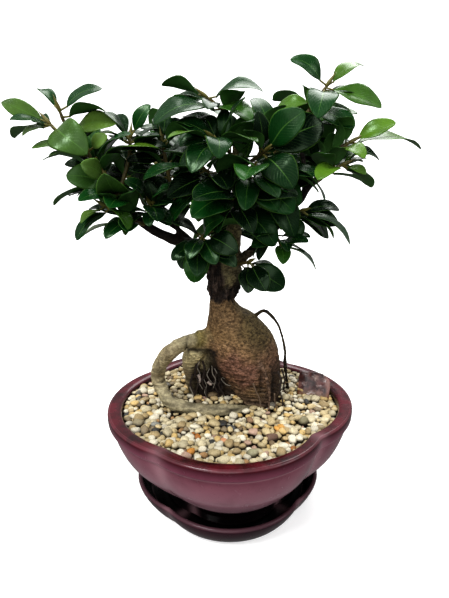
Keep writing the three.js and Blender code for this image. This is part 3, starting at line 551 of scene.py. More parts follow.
def makePottery():
    for name, look, forPot, slot in (("glazedPot", pot, True, "pot_glaze"),
                                     ("glazedSaucer", saucer, False, "saucer_glaze")):
        points, quads, edge, dent, inner = lobedShell(look, forPot)
        tris = None
        if not forPot:
            # Both ends of the open profile lie on the axis, so each closes on a pole.
            around = 4 * look["perLobe"]
            count = len(points)
            points = np.vstack([points, points[:around].mean(axis=0), points[-around:].mean(axis=0)])
            edge, dent, inner = (np.append(values, [0, 0]) for values in (edge, dent, inner))
            tris = poleFans(count, around)
        mesh = makeMesh(name, points, quads, tris)
        addValues(mesh, edge=edge, dent=dent, inner=inner)
        addPiece(name, mesh, [glazeFinish(name + "Glaze", forPot)], ["pot" if forPot else "saucer"])
    print("pottery made")


# The wood. The tuber and the old trunk are ovals at these levels: height, left side, right side, half of
# the depth and middle of the depth.

stemLevels = [
    (38, 15, 27, 8, 17), (47, 10, 31, 12, 17), (58, 6, 34.5, 15, 17), (69, 3.5, 36.5, 16.5, 17),
    (78, -1, 37.5, 18, 16.5), (88, -9, 38, 19.5, 16), (98, -17, 37, 20, 15.5), (109, -20.5, 34.5, 20, 15),
    (119, -20, 30.5, 19.5, 15), (128, -19.3, 23.5, 18, 14.5), (136, -18, 15, 15, 14),
    (142, -17.5, 4.8, 12, 14), (149, -17, 1.2, 10.3, 14), (157, -17.5, 4.5, 10.6, 14),
    (165, -18.8, 6.2, 11, 14), (173, -18.6, 5, 10.5, 14), (179, -17, 1.5, 9.3, 14),
]
# All else grows in runs, as in the solid model: the points, the radius at the start and at the end.
woodRuns = {
    "oldStub": ([(-12, 14, 166), (-12, 14, 172), (-13.5, 14, 187)], 6.6, 5.2),
    "scion": ([(-2, 13, 168), (0, 13, 186), (1, 12, 201), (3, 10, 218), (2, 7.5, 240), (2, 5, 263)], 7, 2),
    "loopRoot": ([(-10, 11, 116), (-18, 11, 118), (-25, 9, 117.5), (-30, 5, 118), (-35, 2, 117),
                  (-40, 0, 115), (-45, 0, 111), (-50, 2, 105), (-54, 4, 98), (-56, 7, 90), (-55, 6, 83.5),
                  (-52, 3, 78.5), (-48, -2, 74.5), (-42, -5.5, 71.5), (-34, -8, 70.5), (-24, -10.5, 70),
                  (-13, -11, 70), (-2, -9, 69), (6, -5, 66), (12, 0, 62)], 5.3, 4.5),
    "rootKnot": ([(-13, 11, 117), (-21, 10.5, 118), (-26, 8, 118)], 5.8, 6.0),
    "legRoot": ([(-14, 13, 117), (-24, 14, 111), (-31, 16, 103), (-33, 18, 94), (-32.5, 20, 84),
                 (-31, 21, 72), (-30, 22, 61)], 7.6, 3.6),
    # The next three runs are the dark hairy root mat, widened and carried on under the tuber, partly a dark
    # mass put there as painted shade.
    "rootMat": ([(-12, 20, 104), (-18, 21, 92), (-20, 22, 78), (-19, 22, 61.5)], 7, 8),
    "matAndShadeSide": ([(-8, 17, 97), (-10, 17, 84), (-9, 18, 64)], 4.4, 5),
    "matAndShadeUnder": ([(-4, 18, 88), (-2, 17.5, 80), (2, 17, 63)], 5, 6),
    "hairRootA": ([(-16, 12, 100), (-21, 14, 86), (-24, 16, 66)], 2, 1.1),
    "hairRootB": ([(-8, 10, 97), (-9, 12, 84), (-4, 14, 65)], 2.2, 1.1),
    "frontRoot": ([(17, 1, 107), (19.9, -3, 102.6), (23.6, -4, 95.2), (25.9, -5, 87.1), (27.5, -6, 79.6),
                   (26.8, -7, 72.1), (27, -7.5, 63)], 1.2, 1),
    "wireRoot": ([(17, 14, 134), (23, 12, 138.5), (29, 10, 135), (34, 10, 128), (37, 11, 120), (40, 13, 108),
                  (41, 16, 94), (43, 20, 82), (46, 25, 66)], 1.35, 1.15),
    "leftBranch": ([(-9, 13, 180), (-20, 12, 187.5), (-30, 8, 188), (-43, 3, 193), (-56, -2, 200),
                    (-68, -6, 211), (-75, -8, 219), (-81, -10, 231), (-89, -12, 241), (-96, -13.5, 246.5)],
                   4.4, 1.5),
    "leftTwin": ([(-26, 10, 187), (-38, 10, 198), (-50, 4, 207), (-60, 2, 216)], 2, 1.3),
    "midLeft": ([(-36, 6, 190), (-39, 4, 205), (-39.5, 1, 219)], 2, 1.5),
    "rightBranch": ([(-3, 13, 169), (12, 8, 183), (20, 4, 189), (29, 2, 200), (38, 0, 213), (45, 0, 218),
                     (49, 0, 225), (57, -2, 236), (59, -3, 245)], 3.6, 1.5),
    "rightRise": ([(48, 0, 224), (47, 3, 240), (44, 4, 256), (44, 4, 268)], 1.9, 1.5),
    "innerRight": ([(3, 10, 210), (12, 8, 214), (19, 5, 220)], 2, 1.5),
    "rearLeft": ([(-4, 14, 186), (-14, 26, 203), (-28, 37, 218), (-37, 43, 228)], 3, 1.5),
    "rearRight": ([(1, 12, 201), (14, 26, 214), (30, 38, 226), (39, 43, 236)], 2.8, 1.5),
    "rearTop": ([(2, 8, 236), (6, 22, 250), (8, 31, 258)], 2, 1.5),
}
# Thin roots that only show, by tint: hairs before the dark mat behind the looped root, and a few at the
# front of the foot.
fineRoots = {
    "grey": [
        ([(-25, 12.4, 99), (-26.6, 12.2, 94), (-24.4, 11.6, 88), (-25.6, 11.6, 82),
          (-22.6, 11, 76)], 0.5, 0.3),
        ([(-19.6, 12.6, 99), (-17.6, 12.2, 93), (-19.2, 11.4, 87.6), (-15.6, 11, 82),
          (-13.2, 10.6, 80)], 0.5, 0.3),
        ([(-17.4, 12.6, 101), (-15.4, 12, 95), (-14.8, 11.6, 89), (-12.6, 11, 83.4),
          (-14.4, 10.6, 77)], 0.55, 0.3),
        ([(-13.5, 11.6, 93), (-10, 11, 87.6), (-5, 10.6, 85), (-1, 10, 85.6)], 0.4, 0.3),
        ([(-9.4, 11, 88), (-6.6, 10.6, 82.4), (-2.6, 10, 79.6), (1.4, 9.6, 81)], 0.4, 0.3),
        ([(-22, 12, 84), (-19.6, 11.4, 79), (-21.2, 11, 74), (-19.4, 10.6, 69)], 0.4, 0.3),
        ([(-32.4, 11, 78), (-30.4, 10.6, 73), (-28.6, 10.2, 70), (-25.4, 9.8, 68.6)], 0.5, 0.35),
    ],
    "pale": [
        ([(-25.8, 11.6, 88), (-24.4, 11.2, 84), (-24.8, 11.2, 81.6)], 1.2, 0.8),
        ([(-18.6, 11.4, 82.4), (-17, 11, 80.6), (-15.2, 11, 80)], 1.2, 1.0),
    ],
    "dark": [
        ([(-27, 12.4, 97), (-28.4, 11.8, 89), (-26, 11.4, 81), (-28.4, 11, 72), (-27, 10.6, 66)], 0.8, 0.5),
        ([(-22.6, 12.6, 99), (-21, 12, 91), (-22.8, 11.4, 82), (-19.6, 11, 74),
          (-21.4, 10.6, 66)], 0.9, 0.5),
        ([(-15.5, 12.4, 98), (-12.4, 11.8, 89), (-13.6, 11.2, 80), (-10.4, 10.8, 72),
          (-12, 10.4, 66)], 0.8, 0.5),
        ([(-10.6, 12, 94), (-8.6, 11.4, 86), (-10, 11, 79), (-6.6, 10.6, 72), (-8, 10, 66)], 0.7, 0.5),
        ([(-30, 11.6, 88), (-32, 11, 80), (-29, 10.4, 73), (-31, 10, 66)], 0.8, 0.5),
        ([(33.6, 1.4, 95), (36, -0.6, 88), (35, -1.4, 80), (37.4, -2, 73), (37, -2.4, 66)], 0.8, 0.5),
        ([(37.6, 12, 92), (40.6, 12, 84), (39.8, 11.4, 77), (43, 10.6, 70), (44, 10, 66)], 0.7, 0.5),
    ],
    "brown": [
        ([(15, -3.4, 88), (17.4, -4.8, 82), (20, -5.6, 76), (21, -6.6, 68)], 0.7, 0.5),
        ([(30.8, -4.4, 80), (31.4, -5.4, 74), (33, -6.4, 67)], 0.6, 0.4),
    ],
}
wood = {
    "voxel": 0.72, "around": 120, "levels": 190, "ridge": 0.035, "step": 1.4, "runAround": 14,
    "flare": 0.45, "flareReach": 1.4, "smoothing": (2, 0.5), "wrinkle": 0.5, "barkDepth": 2.4,
    "tuber": "836a48", "tuberRed": "775747", "tuberTop": "775f42", "tuberOlive": "564a2d", "low": "58483c",
    "loopRoot": "a69f80", "knobScarAndHighlight": "d2c69a", "moss": "8c8148", "legRoot": "958b6e", "mat": "120c09",
    # dark is the dark fine roots and also painted shade on the tuber; crease is painted shade in creases,
    # clefts, furrows and along the ragged bark edge, and it also mottles the fine roots.
    "grey": "878075", "pale": "ab9c92", "dark": "2c2019", "brown": "63513f", "frontRoot": "6a5546",
    "wireRoot": "0d0a08", "oldBark": "382b24", "scion": "7f7656", "branch": "1f1813", "crease": "0f0a07",
    # strand is the grey of the old bark's strands, with a painted highlight on them.
    "strandAndHighlight": "8d7a6d", "lift": (2.1, 2.12, 2.15, 1.0), "sink": (0.34, 0.31, 0.28, 1.0),
}
# Which runs take which tint.
tintGroups = {
    "loopRoot": ["loopRoot"], "legRoot": ["legRoot"], "moss": ["rootKnot"],
    "mat": ["rootMat", "matAndShadeSide", "matAndShadeUnder", "hairRootA", "hairRootB"], "oldBark": ["oldStub"],
    "scion": ["scion"], "frontRoot": ["frontRoot"], "wireRoot": ["wireRoot"],
    "branch": ["leftBranch", "leftTwin", "midLeft", "rightBranch", "rightRise", "innerRight", "rearLeft",
               "rearRight", "rearTop"],
}
# Marks on the wood as soft spots: strength, centre and reach. The tints also have their greatest share.
# They are painted shade in the hollow under the looped root, the knob's pale scar and a painted highlight on
# it, painted shade below, and painted shade in the clefts and folds.
shadeAndHighlightMarks = [
    ("mat", 0.95, [(1.7, (-14.5, 10, 101), (5.5, 9, 8)), (1.7, (-18, 8, 108.5), (8, 8, 2.6)),
                   (1.7, (-15, 12, 84), (11, 9, 12))]),
    ("knobScarAndHighlight", 0.95, [(2.2, (-29, 8, 100), (7, 10, 8))]),
    ("dark", 0.6, [(1.2, (-22, 12, 78), (8, 12, 11))]),
    ("crease", 0.85, [(1, (31, -1, 82), (3.4, 12, 14)), (0.8, (21, -5, 87), (1.6, 5, 9)),
                      (1, (-33, 3, 113), (1.2, 14, 7)), (1, (-29, 6, 109.5), (9, 9, 1.6))]),
]
# In the relief they are the clefts of the foot, the knob, the folds round it and a scar, in millimetres.
reliefMarks = [
    (-2.6, (31.5, -1, 80), (2.6, 10, 15)), (-1.2, (21, -5, 87), (1.6, 5, 9)),
    (2.6, (-26.5, 8, 99.5), (6, 9, 7)), (-1.4, (-30.4, 5, 102.4), (1.3, 5, 1.5)),
    (-1.1, (-33, 3, 113), (1.0, 14, 7)), (-1.2, (-29, 6, 109.5), (8, 8, 1.2)),
    (0.9, (21, -4, 99), (2.4, 3, 1.8)),
]
redPatch = [(1, (4, -5, 98), (15, 40, 17))]


def makeStemSurface():
    # Ovals between a left and a right side, with three soft ridges that turn as they climb.
    levels = smoothPath(stemLevels, wood["levels"])
    height, left, right, half, middle = (levels[:, i, None] for i in range(5))
    angle = np.arange(wood["around"])[None] * 2 * math.pi / wood["around"]
    ridge = 1 + wood["ridge"] * np.cos(3 * angle + height * 0.04)
    x = (left + right) / 2 + (right - left) / 2 * np.cos(angle) * ridge
    y = middle + half * np.sin(angle) * ridge
    points = np.stack([x, y, np.broadcast_to(height, x.shape)], -1)
    rows, around = x.shape
    flat = points.reshape(-1, 3)
    flat = np.vstack([flat, points[0].mean(axis=0), points[-1].mean(axis=0)])
    return flat, gridFaces(rows, around, wrapColumns=True), poleFans(rows * around, around)


def makeWoodSurface():
    # Every run as a tube that widens where it leaves what carries it, joined into one skin.
    bundle = Bundle()
    bundle.add(*makeStemSurface())
    for name, (line, first, last) in woodRuns.items():
        path = evenPath(line, wood["step"])
        share = np.linspace(0, 1, len(path))
        grown = first + (last - first) * share
        fromStart = share * wood["step"] * len(path)
        flare = wood["flare"] * np.exp(-fromStart / (wood["flareReach"] * first))
        flare = 0 if name in ("oldStub", "scion") else flare
        knots = 1 + 0.06 * smoothNoise(path, 7, 3) + 0.04 * smoothNoise(path, 3, 5)
        bundle.add(*tube(path, grown * (1 + flare) * knots, wood["runAround"]))
    return bundle.mesh("woodDraft")


def skinned(mesh, voxel):
    # One closed skin round everything in the mesh.
    draft = bpy.data.objects.new("draft", mesh)
    bpy.context.scene.collection.objects.link(draft)
    change = draft.modifiers.new("skin", "REMESH")
    change.mode = "VOXEL"
    change.voxel_size = voxel * mm
    change.use_smooth_shade = True
    made = bpy.data.meshes.new_from_object(draft.evaluated_get(bpy.context.evaluated_depsgraph_get()))
    bpy.data.objects.remove(draft)
    return made


def readArray(values, key):
    # Three numbers for each point of a mesh, such as its place or its normal.
    flat = np.zeros(len(values) * 3, np.float32)
    values.foreach_get(key, flat)
    return flat.reshape(-1, 3).astype(float)


def pointArray(mesh):
    return readArray(mesh.vertices, "co") / mm


def relaxed(mesh, points, rounds, strength):
    # Moves each point towards the middle of its neighbours.
    edges = np.zeros(len(mesh.edges) * 2, np.int32)
    mesh.edges.foreach_get("vertices", edges)
    a, b = edges.reshape(-1, 2).T
    count = np.bincount(a, minlength=len(points)) + np.bincount(b, minlength=len(points))
    for _ in range(rounds):
        total = [np.bincount(a, points[b, i], len(points)) + np.bincount(b, points[a, i], len(points))
                 for i in range(3)]
        total = np.stack(total, axis=1)
        points = points + strength * (total / count[:, None] - points)
    return points


def distanceTo(points, *names):
    # How far each point is outside the nearest of some runs, by samples along them.
    best = np.full(len(points), 1e9)
    for name in names:
        line, first, last = woodRuns[name]
        path = evenPath(line, 2.5)
        for place, radius in zip(path, np.linspace(first, last, len(path))):
            best = np.minimum(best, np.linalg.norm(points - place, axis=1) - radius)
    return best


def blend(base, other, share):
    # Goes from a tint at each point towards a named one by a share for each point.
    return base * (1 - share[:, None]) + np.array(colour(other)[:3]) * share[:, None]


def softStep(value, low, high):
    # From 0 to 1 as the value goes from low to high, also where low is the greater.
    share = np.clip((value - low) / (high - low), 0, 1)
    return share * share * (3 - 2 * share)


def spots(points, marks):
    # Each spot is at its full strength at its centre and fades out with distance.
    return sum(strength * np.exp(-np.sum(((points - np.array(centre)) / np.array(reach)) ** 2, axis=1))
               for strength, centre, reach in marks)


def barkLine(points):
    # How far a point is above the ragged lower edge of the old bark.
    return points[:, 2] - 145.5 + 0.22 * points[:, 0] + 3.2 * layeredNoise(points, (5, 5, 8), 2, 8)


def woodTints(points):
    # The tuber goes from brown at the left through a red patch to olive at the right, darker at the foot,
    # with painted shade low on its right, the old bark above it, the grafted stem on that, and painted shade
    # along the bark's ragged edge. Each layer covers those before it.
    x, height = points[:, 0], points[:, 2]
    cloud = layeredNoise(points, (15, 15, 18), 3, 41)
    red = np.clip(0.2 + spots(points, redPatch) + 0.5 * cloud, 0, 1)
    patch = softStep(height, 154, 163) * softStep(x + 3.5 * cloud, -9, -6)
    ragged = softStep(x + 2.4 * layeredNoise(points, (3, 3, 4), 2, 19), 0.6, 2.2)
    ragged = ragged * softStep(height, 147, 150) * softStep(height, 173, 168)
    stem = np.tile(np.array(colour(wood["tuber"])[:3]), (len(points), 1))
    for key, share in (
            ("tuberTop", softStep(height, 112, 134) * 0.8),
            ("tuberOlive", softStep(x + 6 * cloud + 0.25 * (height - 100), 4, 22) * 0.9),
            ("tuberRed", red * softStep(height, 126, 104)),
            ("low", softStep(height, 90, 68) * 0.8),
            # Darker low on the right of the tuber: painted shade.
            ("dark", softStep(x + 3 * cloud, 27, 35) * softStep(height, 110, 90) * 0.7),
            ("oldBark", softStep(barkLine(points), -1, 3)),
            ("scion", patch * 0.9),
            # Near black along the ragged edge of the old bark: painted shade.
            ("crease", ragged * 0.9)):
        stem = blend(stem, wood[key], share)
    # A point takes the tints of the runs near it, the nearest one most, and of the stem where none is near.
    weights = 0.4 * np.ones((len(points), 1)) * (height < 184)[:, None] + 1e-4
    tint = weights * stem
    for key, names in tintGroups.items():
        weight = np.exp(-np.clip(distanceTo(points, *names), -1, 60) / 0.6)[:, None]
        tint = tint + weight * np.array(colour(wood[key])[:3])
        weights = weights + weight
    tint = tint / weights
    for key, most, marks in shadeAndHighlightMarks:
        tint = blend(tint, wood[key], np.clip(spots(points, marks), 0, most))
    return tint


def woodRelief(points):
    # Cross wrinkles low on the tuber, pits higher up, long cracks on the old bark, a cleft at the right of
    # the foot, strands on the dark mat and small lumps everywhere.
    height = points[:, 2]
    old = softStep(barkLine(points), -1, 2) * softStep(height, 192, 184)
    low = 1 - softStep(height, 126, 138)
    wrinkles = 1 - 2 * np.abs(layeredNoise(points, (15, 15, 2.2), 2, 11))
    foot = 0.15 + 0.85 * softStep(height, 108, 82)
    lumps = layeredNoise(points, 4.2, 2, 21)
    pits = np.abs(layeredNoise(points, (2.6, 2.6, 2.1), 2, 71))
    swell = smoothNoise(points, 15, 31)
    cracks = 1 - 2 * np.abs(layeredNoise(points, (3.4, 3.4, 13), 2, 51))
    tuber = low * (wood["wrinkle"] * foot * (wrinkles - 0.5) + 0.3 * lumps + 0.6 * swell)
    tuber = tuber - 0.5 * (1 - foot) * low * np.clip(0.3 - pits, 0, 1) * 3
    patch = softStep(height, 154, 163) * softStep(points[:, 0], -9, -6)
    bark = old * (1 - 0.7 * patch) * wood["barkDepth"] * (0.7 * (cracks - 0.4) + 0.55 * lumps)
    thin = (1 - low) * (1 - old) * 0.16 * lumps
    near = distanceTo(points, "rootMat", "matAndShadeSide")
    mat = 1.3 * np.exp(-np.clip(near, 0, 9) / 0.8) * layeredNoise(points, (2, 2, 9), 2, 13)
    # crease: how deep a point lies in a wrinkle, crack or pit; it sets the painted shade there.
    crease = np.clip(0.5 - 0.5 * np.where(old > 0.4, cracks, wrinkles * foot + 1 - foot), 0, 1)
    crease = np.maximum(crease, (1 - foot) * low * np.clip(0.3 - pits, 0, 1) * 1.2)
    ragged = 1.8 * old * softStep(points[:, 0], 1, 3) * softStep(height, 172, 168)
    bark = bark + ragged * np.abs(layeredNoise(points, (2.6, 2.6, 3.4), 2, 83))
    relief = tuber + bark + thin + spots(points, reliefMarks) + mat
    return relief, crease * (1 - 0.7 * patch * old), old * (1 - 0.8 * patch)


def barkFinish():
    # The skin's own tint, with painted shade in the creases, broken up by clouds, by fine fibres and by a net
    # of pale lines.
    finish = Finish("bark", Specular_IOR_Level=0.3)
    place = finish.coords()
    tint = finish.value("tint", "Color")
    dark = finish.mix(1.0, tint, wood["sink"], "MULTIPLY")
    light = finish.mix(1.0, tint, wood["lift"], "MULTIPLY")
    rough = finish.span(finish.value("plain"), 0, 1, 1, 0.35)
    clouds = finish.span(finish.noise(place, 8, 3, 0.6), 0.32, 0.68)
    tinted = finish.mix(clouds, finish.mix(0.5, tint, dark), finish.mix(0.25, tint, light))
    fibres = finish.noise(finish.stretched((1, 1, 1.6)), 2.4, 4, 0.62)
    for tone, low, high, most in ((dark, 0.5, 0.39, 0.9), (light, 0.53, 0.62, 0.8)):
        tinted = finish.mix(finish.times(rough, finish.span(fibres, low, high, 0, most)), tinted, tone)
    # Old bark is split along the trunk into dark furrows and grey strands: partly its own colour, partly
    # painted shade in the furrows and a painted highlight on the strands.
    strands = finish.noise(finish.stretched((1, 1, 0.22)), 2.4, 3, 0.6)
    old = finish.value("old")
    furrowAndShade = finish.times(old, finish.span(strands, 0.5, 0.43, 0, 0.9))
    strandAndHighlight = finish.times(old, finish.span(strands, 0.55, 0.64, 0, 0.7))
    tinted = finish.over(finish.over(tinted, wood["strandAndHighlight"], strandAndHighlight), wood["crease"], furrowAndShade)
    net = finish.span(finish.cells(place, 1000 / 430, "DISTANCE_TO_EDGE"), 0.02, 0.16, 1.0, 0.0)
    net = finish.times(net, finish.span(finish.noise(place, 4, 3), 0.44, 0.6, 0, 0.55))
    net = finish.times(net, rough)
    tinted = finish.mix(net, tinted, light)
    # Near black in the creases: painted shade.
    finish.paint(finish.over(tinted, wood["crease"], finish.times(finish.value("crease"), 0.85)))
    finish.rough(finish.span(fibres, 0.3, 0.7, 0.75, 0.5))
    finish.relief(finish.maths("ADD", finish.times(net, 0.5), fibres), 0.8)
    return finish.material


def hairFinish():
    finish = Finish("fineRoots", Roughness=0.7)
    place = finish.coords()
    mottled = finish.span(finish.noise(place, 1.6, 3), 0.45, 0.65, 0, 0.6)
    finish.paint(finish.over(finish.value("tint", "Color"), wood["crease"], mottled))
    finish.relief(finish.noise(place, 1, 3), 0.15)
    return finish.material


def makeWood():
    # The skin, smoothed, then raised along its normals. Its tints go by where a point is before that. Near
    # the smooth runs the bark is plainer.
    mesh = skinned(makeWoodSurface(), wood["voxel"])
    points = relaxed(mesh, pointArray(mesh), *wood["smoothing"])
    placePoints(mesh, points)
    relief, crease, old = woodRelief(points)
    tint = woodTints(points)
    points = points + readArray(mesh.vertex_normals, "vector") * relief[:, None]
    placePoints(mesh, points)
    near = distanceTo(points, "loopRoot", "wireRoot", "legRoot")
    addValues(mesh, tint=tint, crease=crease, old=old, plain=np.exp(-np.clip(near, 0, 9) / 1.5))
    addPiece("trunkAndRoots", mesh, [barkFinish()], ["trunk_and_roots"])
    print("wood made:", len(mesh.polygons), "faces")


def makeFineRoots():
    # Thin tubes that waver a little along their way.
    bundle = Bundle()
    for tint, runs in fineRoots.items():
        for line, first, last in runs:
            path = evenPath(line, 1.2)
            path = path + 0.25 * np.stack([smoothNoise(path, 3, 60 + k) for k in range(3)], -1)
            radii = np.linspace(first, last, len(path)) * (1 + 0.15 * smoothNoise(path, 2, 9))
            points, quads, tris = tube(path, radii, 8)
            bundle.add(points, quads, tris, tint=np.tile(colour(wood[tint])[:3], (len(points), 1)))
    addPiece("fineRoots", bundle.mesh("fineRoots"), [hairFinish()], [])
    print("fine roots made:", sum(map(len, fineRoots.values())))


# Gravel: a dark bed with loose pebbles on it.

gravel = {
    # The level at the wall, how much higher the middle is, the slope up to the back, the bank at the left
    # (from x, to x, height), the highest level, and the radius of the pot's inside there.
    "seed": 7, "level": 65.6, "mound": 1.6, "slope": 0.08, "bank": (-46, -74, 3.4), "highest": 71.2,
    "edge": 78.4,
    # How the pebbles lie: their pitch, the step between rows and the jitter as shares of it, then the rounds
    # of pushing apart, how near two may lie for their sizes, and how hard they push.
    "pitch": 4.35, "rowStep": 0.87, "jitter": 0.45, "rounds": 40, "touch": 0.43, "push": 0.35,
    # How they are shaped: size, largest size and spread, then ranges of length, width and height as shares
    # of the size, of squareness, of height over the gravel's level and of brightness.
    "size": 4.7, "largest": 7, "uneven": 0.27, "long": (0.9, 1.22), "wide": (0.74, 0.98),
    "high": (0.56, 0.82), "square": (0.5, 0.95), "lumps": 0.34, "lean": 0.5, "rise": (-1.4, 1.8),
    "bright": (0.64, 1.0), "lower": 3.4,
    "tints": {"e2d5b1": 26, "d3c094": 20, "efe7cf": 21, "bfa87c": 8, "9c8c70": 3.5, "dfc081": 8, "c39969": 2,
              "7c6a50": 2.5, "c2a28e": 3, "b8742f": 0.4, "77736a": 1, "3c3f40": 0.8},
    # The last of these is painted shade low on each pebble.
    "mottle": "6f6248", "speck": "3d3324", "lowShade": "1e160f",
    # The bed below: its depth, bottom, rings over the top and underneath, points in a ring, and its dark
    # earth tints, which also stand as painted shade between the pebbles.
    "bedDrop": 4.2, "bottom": 60.6, "over": 40, "under": 12, "around": 96, "bed": "1c140e",
    "bedLight": "42351f",
}
# Pebbles that stand out in the photo: place x, y, then width and colour.
accents = [
    (-7.5, -27.6, 6.2, "23272d"), (-1.4, -30.2, 7, "50555a"), (-27, -58.6, 6.8, "c98b3c"),
    (32.8, -30.2, 5.6, "cf9c50"), (29.5, -33.5, 4.8, "e0a856"), (-6, -48.6, 6.2, "d79a72"),
    (48.7, -24.9, 8.6, "857f63"), (25.2, -43.9, 6.2, "6f5548"), (29, -7.7, 6.4, "efe9d9"),
    (3.5, -3.2, 5.6, "efe8d6"), (11.5, -60.8, 8.4, "a5a182"), (-65, -29.5, 7.4, "9a8f72"),
    (-53, -27.6, 6, "8f9088"), (12, -24, 6.6, "95765a"), (66, 14, 6.4, "d7cfba"), (-40, -47, 7, "e3dbc6"),
]


def pebbleForm():
    # A ball of twenty faces, each split in four.
    golden = (1 + math.sqrt(5)) / 2
    points = [(a, b * golden, 0) for a in (-1, 1) for b in (-1, 1)]
    points = points + [(0, a, b) for a, b, _ in points] + [(b, 0, a) for a, b, _ in points]
    points = unit(np.array(points, float))
    gaps = np.linalg.norm(points[:, None] - points[None], axis=2)
    near = gaps < 1.1
    tris = [(i, j, k) for i in range(12) for j in range(i + 1, 12) for k in range(j + 1, 12)
            if near[i, j] and near[j, k] and near[i, k]]
    # Every face turned so that it looks outward.
    a, b, c = points[np.array(tris)].transpose(1, 0, 2)
    inward = np.sum(np.cross(b - a, c - a) * a, axis=1) < 0
    tris = np.where(inward[:, None], np.array(tris)[:, [0, 2, 1]], tris)
    sides = np.sort(np.concatenate([tris[:, [0, 1]], tris[:, [1, 2]], tris[:, [2, 0]]]), axis=1)
    pairs, place = np.unique(sides, axis=0, return_inverse=True)
    middles = unit(points[pairs].mean(axis=1))
    ab, bc, ca = place.reshape(3, -1) + 12
    a, b, c = tris.T
    split = ((a, ab, ca), (ab, b, bc), (ca, bc, c), (ab, bc, ca))
    return np.vstack([points, middles]), np.concatenate([np.stack(part, 1) for part in split])


def gravelTop(x, y):
    # The gravel's level: a low mound that climbs to the back and is banked up at the left.
    start, end, height = gravel["bank"]
    rise = gravel["mound"] * (1 - (x * x + y * y) / gravel["edge"] ** 2) + gravel["slope"] * np.maximum(y, 0)
    rise = rise + height * softStep(x, start, end) * softStep(y, 50, 20)
    return np.minimum(gravel["level"] + rise, gravel["highest"])


def insidePot(x, y, margin):
    # How far a place is inside the pot's wall at the gravel's level.
    reach = lobeReach(pot["circles"], np.arctan2(y, x), pot["soft"])
    return (gravel["edge"] - margin) * reach - np.hypot(x, y)


def woodGap(x, y, height):
    # How far a place on the gravel is from the wood that stands in it.
    points = np.stack([x, y, np.full(len(x), height)], -1)
    gap = distanceTo(points, "loopRoot", "legRoot", "rootMat", "hairRootA", "hairRootB", "frontRoot",
                     "wireRoot")
    levels = np.array(stemLevels).T
    left, right, half, middle = (np.interp(height, levels[0], side) for side in levels[1:])
    across = (x - (left + right) / 2) / ((right - left) / 2)
    along = (y - middle) / half
    return np.minimum(gap, (np.hypot(across, along) - 1) * half)


def turnMatrices(draws, tilt):
    # Any turn about the upright axis, then a tilt about any level axis.
    turn, _, way = (draws.uniform(0, 2 * math.pi, len(tilt)) for _ in range(3))
    x, y = np.cos(way), np.sin(way)
    c, s = np.cos(tilt), np.sin(tilt)
    k = 1 - c
    tipped = np.array([[c + x * x * k, x * y * k, y * s], [x * y * k, c + y * y * k, -x * s],
                       [-y * s, x * s, c]])
    zero = 0 * turn
    spun = np.array([[np.cos(turn), -np.sin(turn), zero], [np.sin(turn), np.cos(turn), zero],
                     [zero, zero, zero + 1]])
    return np.einsum("ijn,jkn->nik", tipped, spun)


def pebbleMaterial():
    # Each pebble's own tint with brown mottling, a few dark specks and painted shade low on its sides and on
    # the lower layer.
    finish = Finish("pebbles", Roughness=0.5, Specular_IOR_Level=0.4)
    place = finish.coords()
    tint = finish.value("tint", "Color")
    mottled = finish.span(finish.noise(place, 2.4, 4, 0.65), 0.4, 0.66, 0, 0.55)
    cloudy = finish.mix(mottled, tint, finish.over(tint, gravel["mottle"], 0.5))
    specks = finish.span(finish.noise(place, 0.6, 2, 0.6), 0.58, 0.7, 0, 0.5)
    # Darker low on each pebble and on the lower layer: painted shade.
    lowShade = finish.span(finish.value("depth"), 0.2, 0.56, 0, 0.97)
    finish.paint(finish.over(finish.over(cloudy, gravel["speck"], specks), gravel["lowShade"], lowShade))
    finish.rough(finish.span(finish.noise(place, 3, 2), 0.3, 0.7, 0.38, 0.7))
    finish.relief(finish.noise(place, 1.8, 4, 0.6), 0.5)
    return finish.material


def crumbs(name, tones, size, detail, roughness):
    # Damp loose earth in two tones.
    finish = Finish(name, Roughness=0.95)
    place = finish.coords()
    blots = finish.noise(place, size, detail, roughness)
    finish.paint(finish.mix(blots, *map(colour, tones)))
    return finish, place


def bedMaterial():
    # Dark earth, which also stands as painted shade between the pebbles.
    finish, place = crumbs("gravelBed", (gravel["bed"], gravel["bedLight"]), 3, 4, 0.55)
    finish.relief(finish.noise(place, 2, 4), 0.6)
    return finish.material


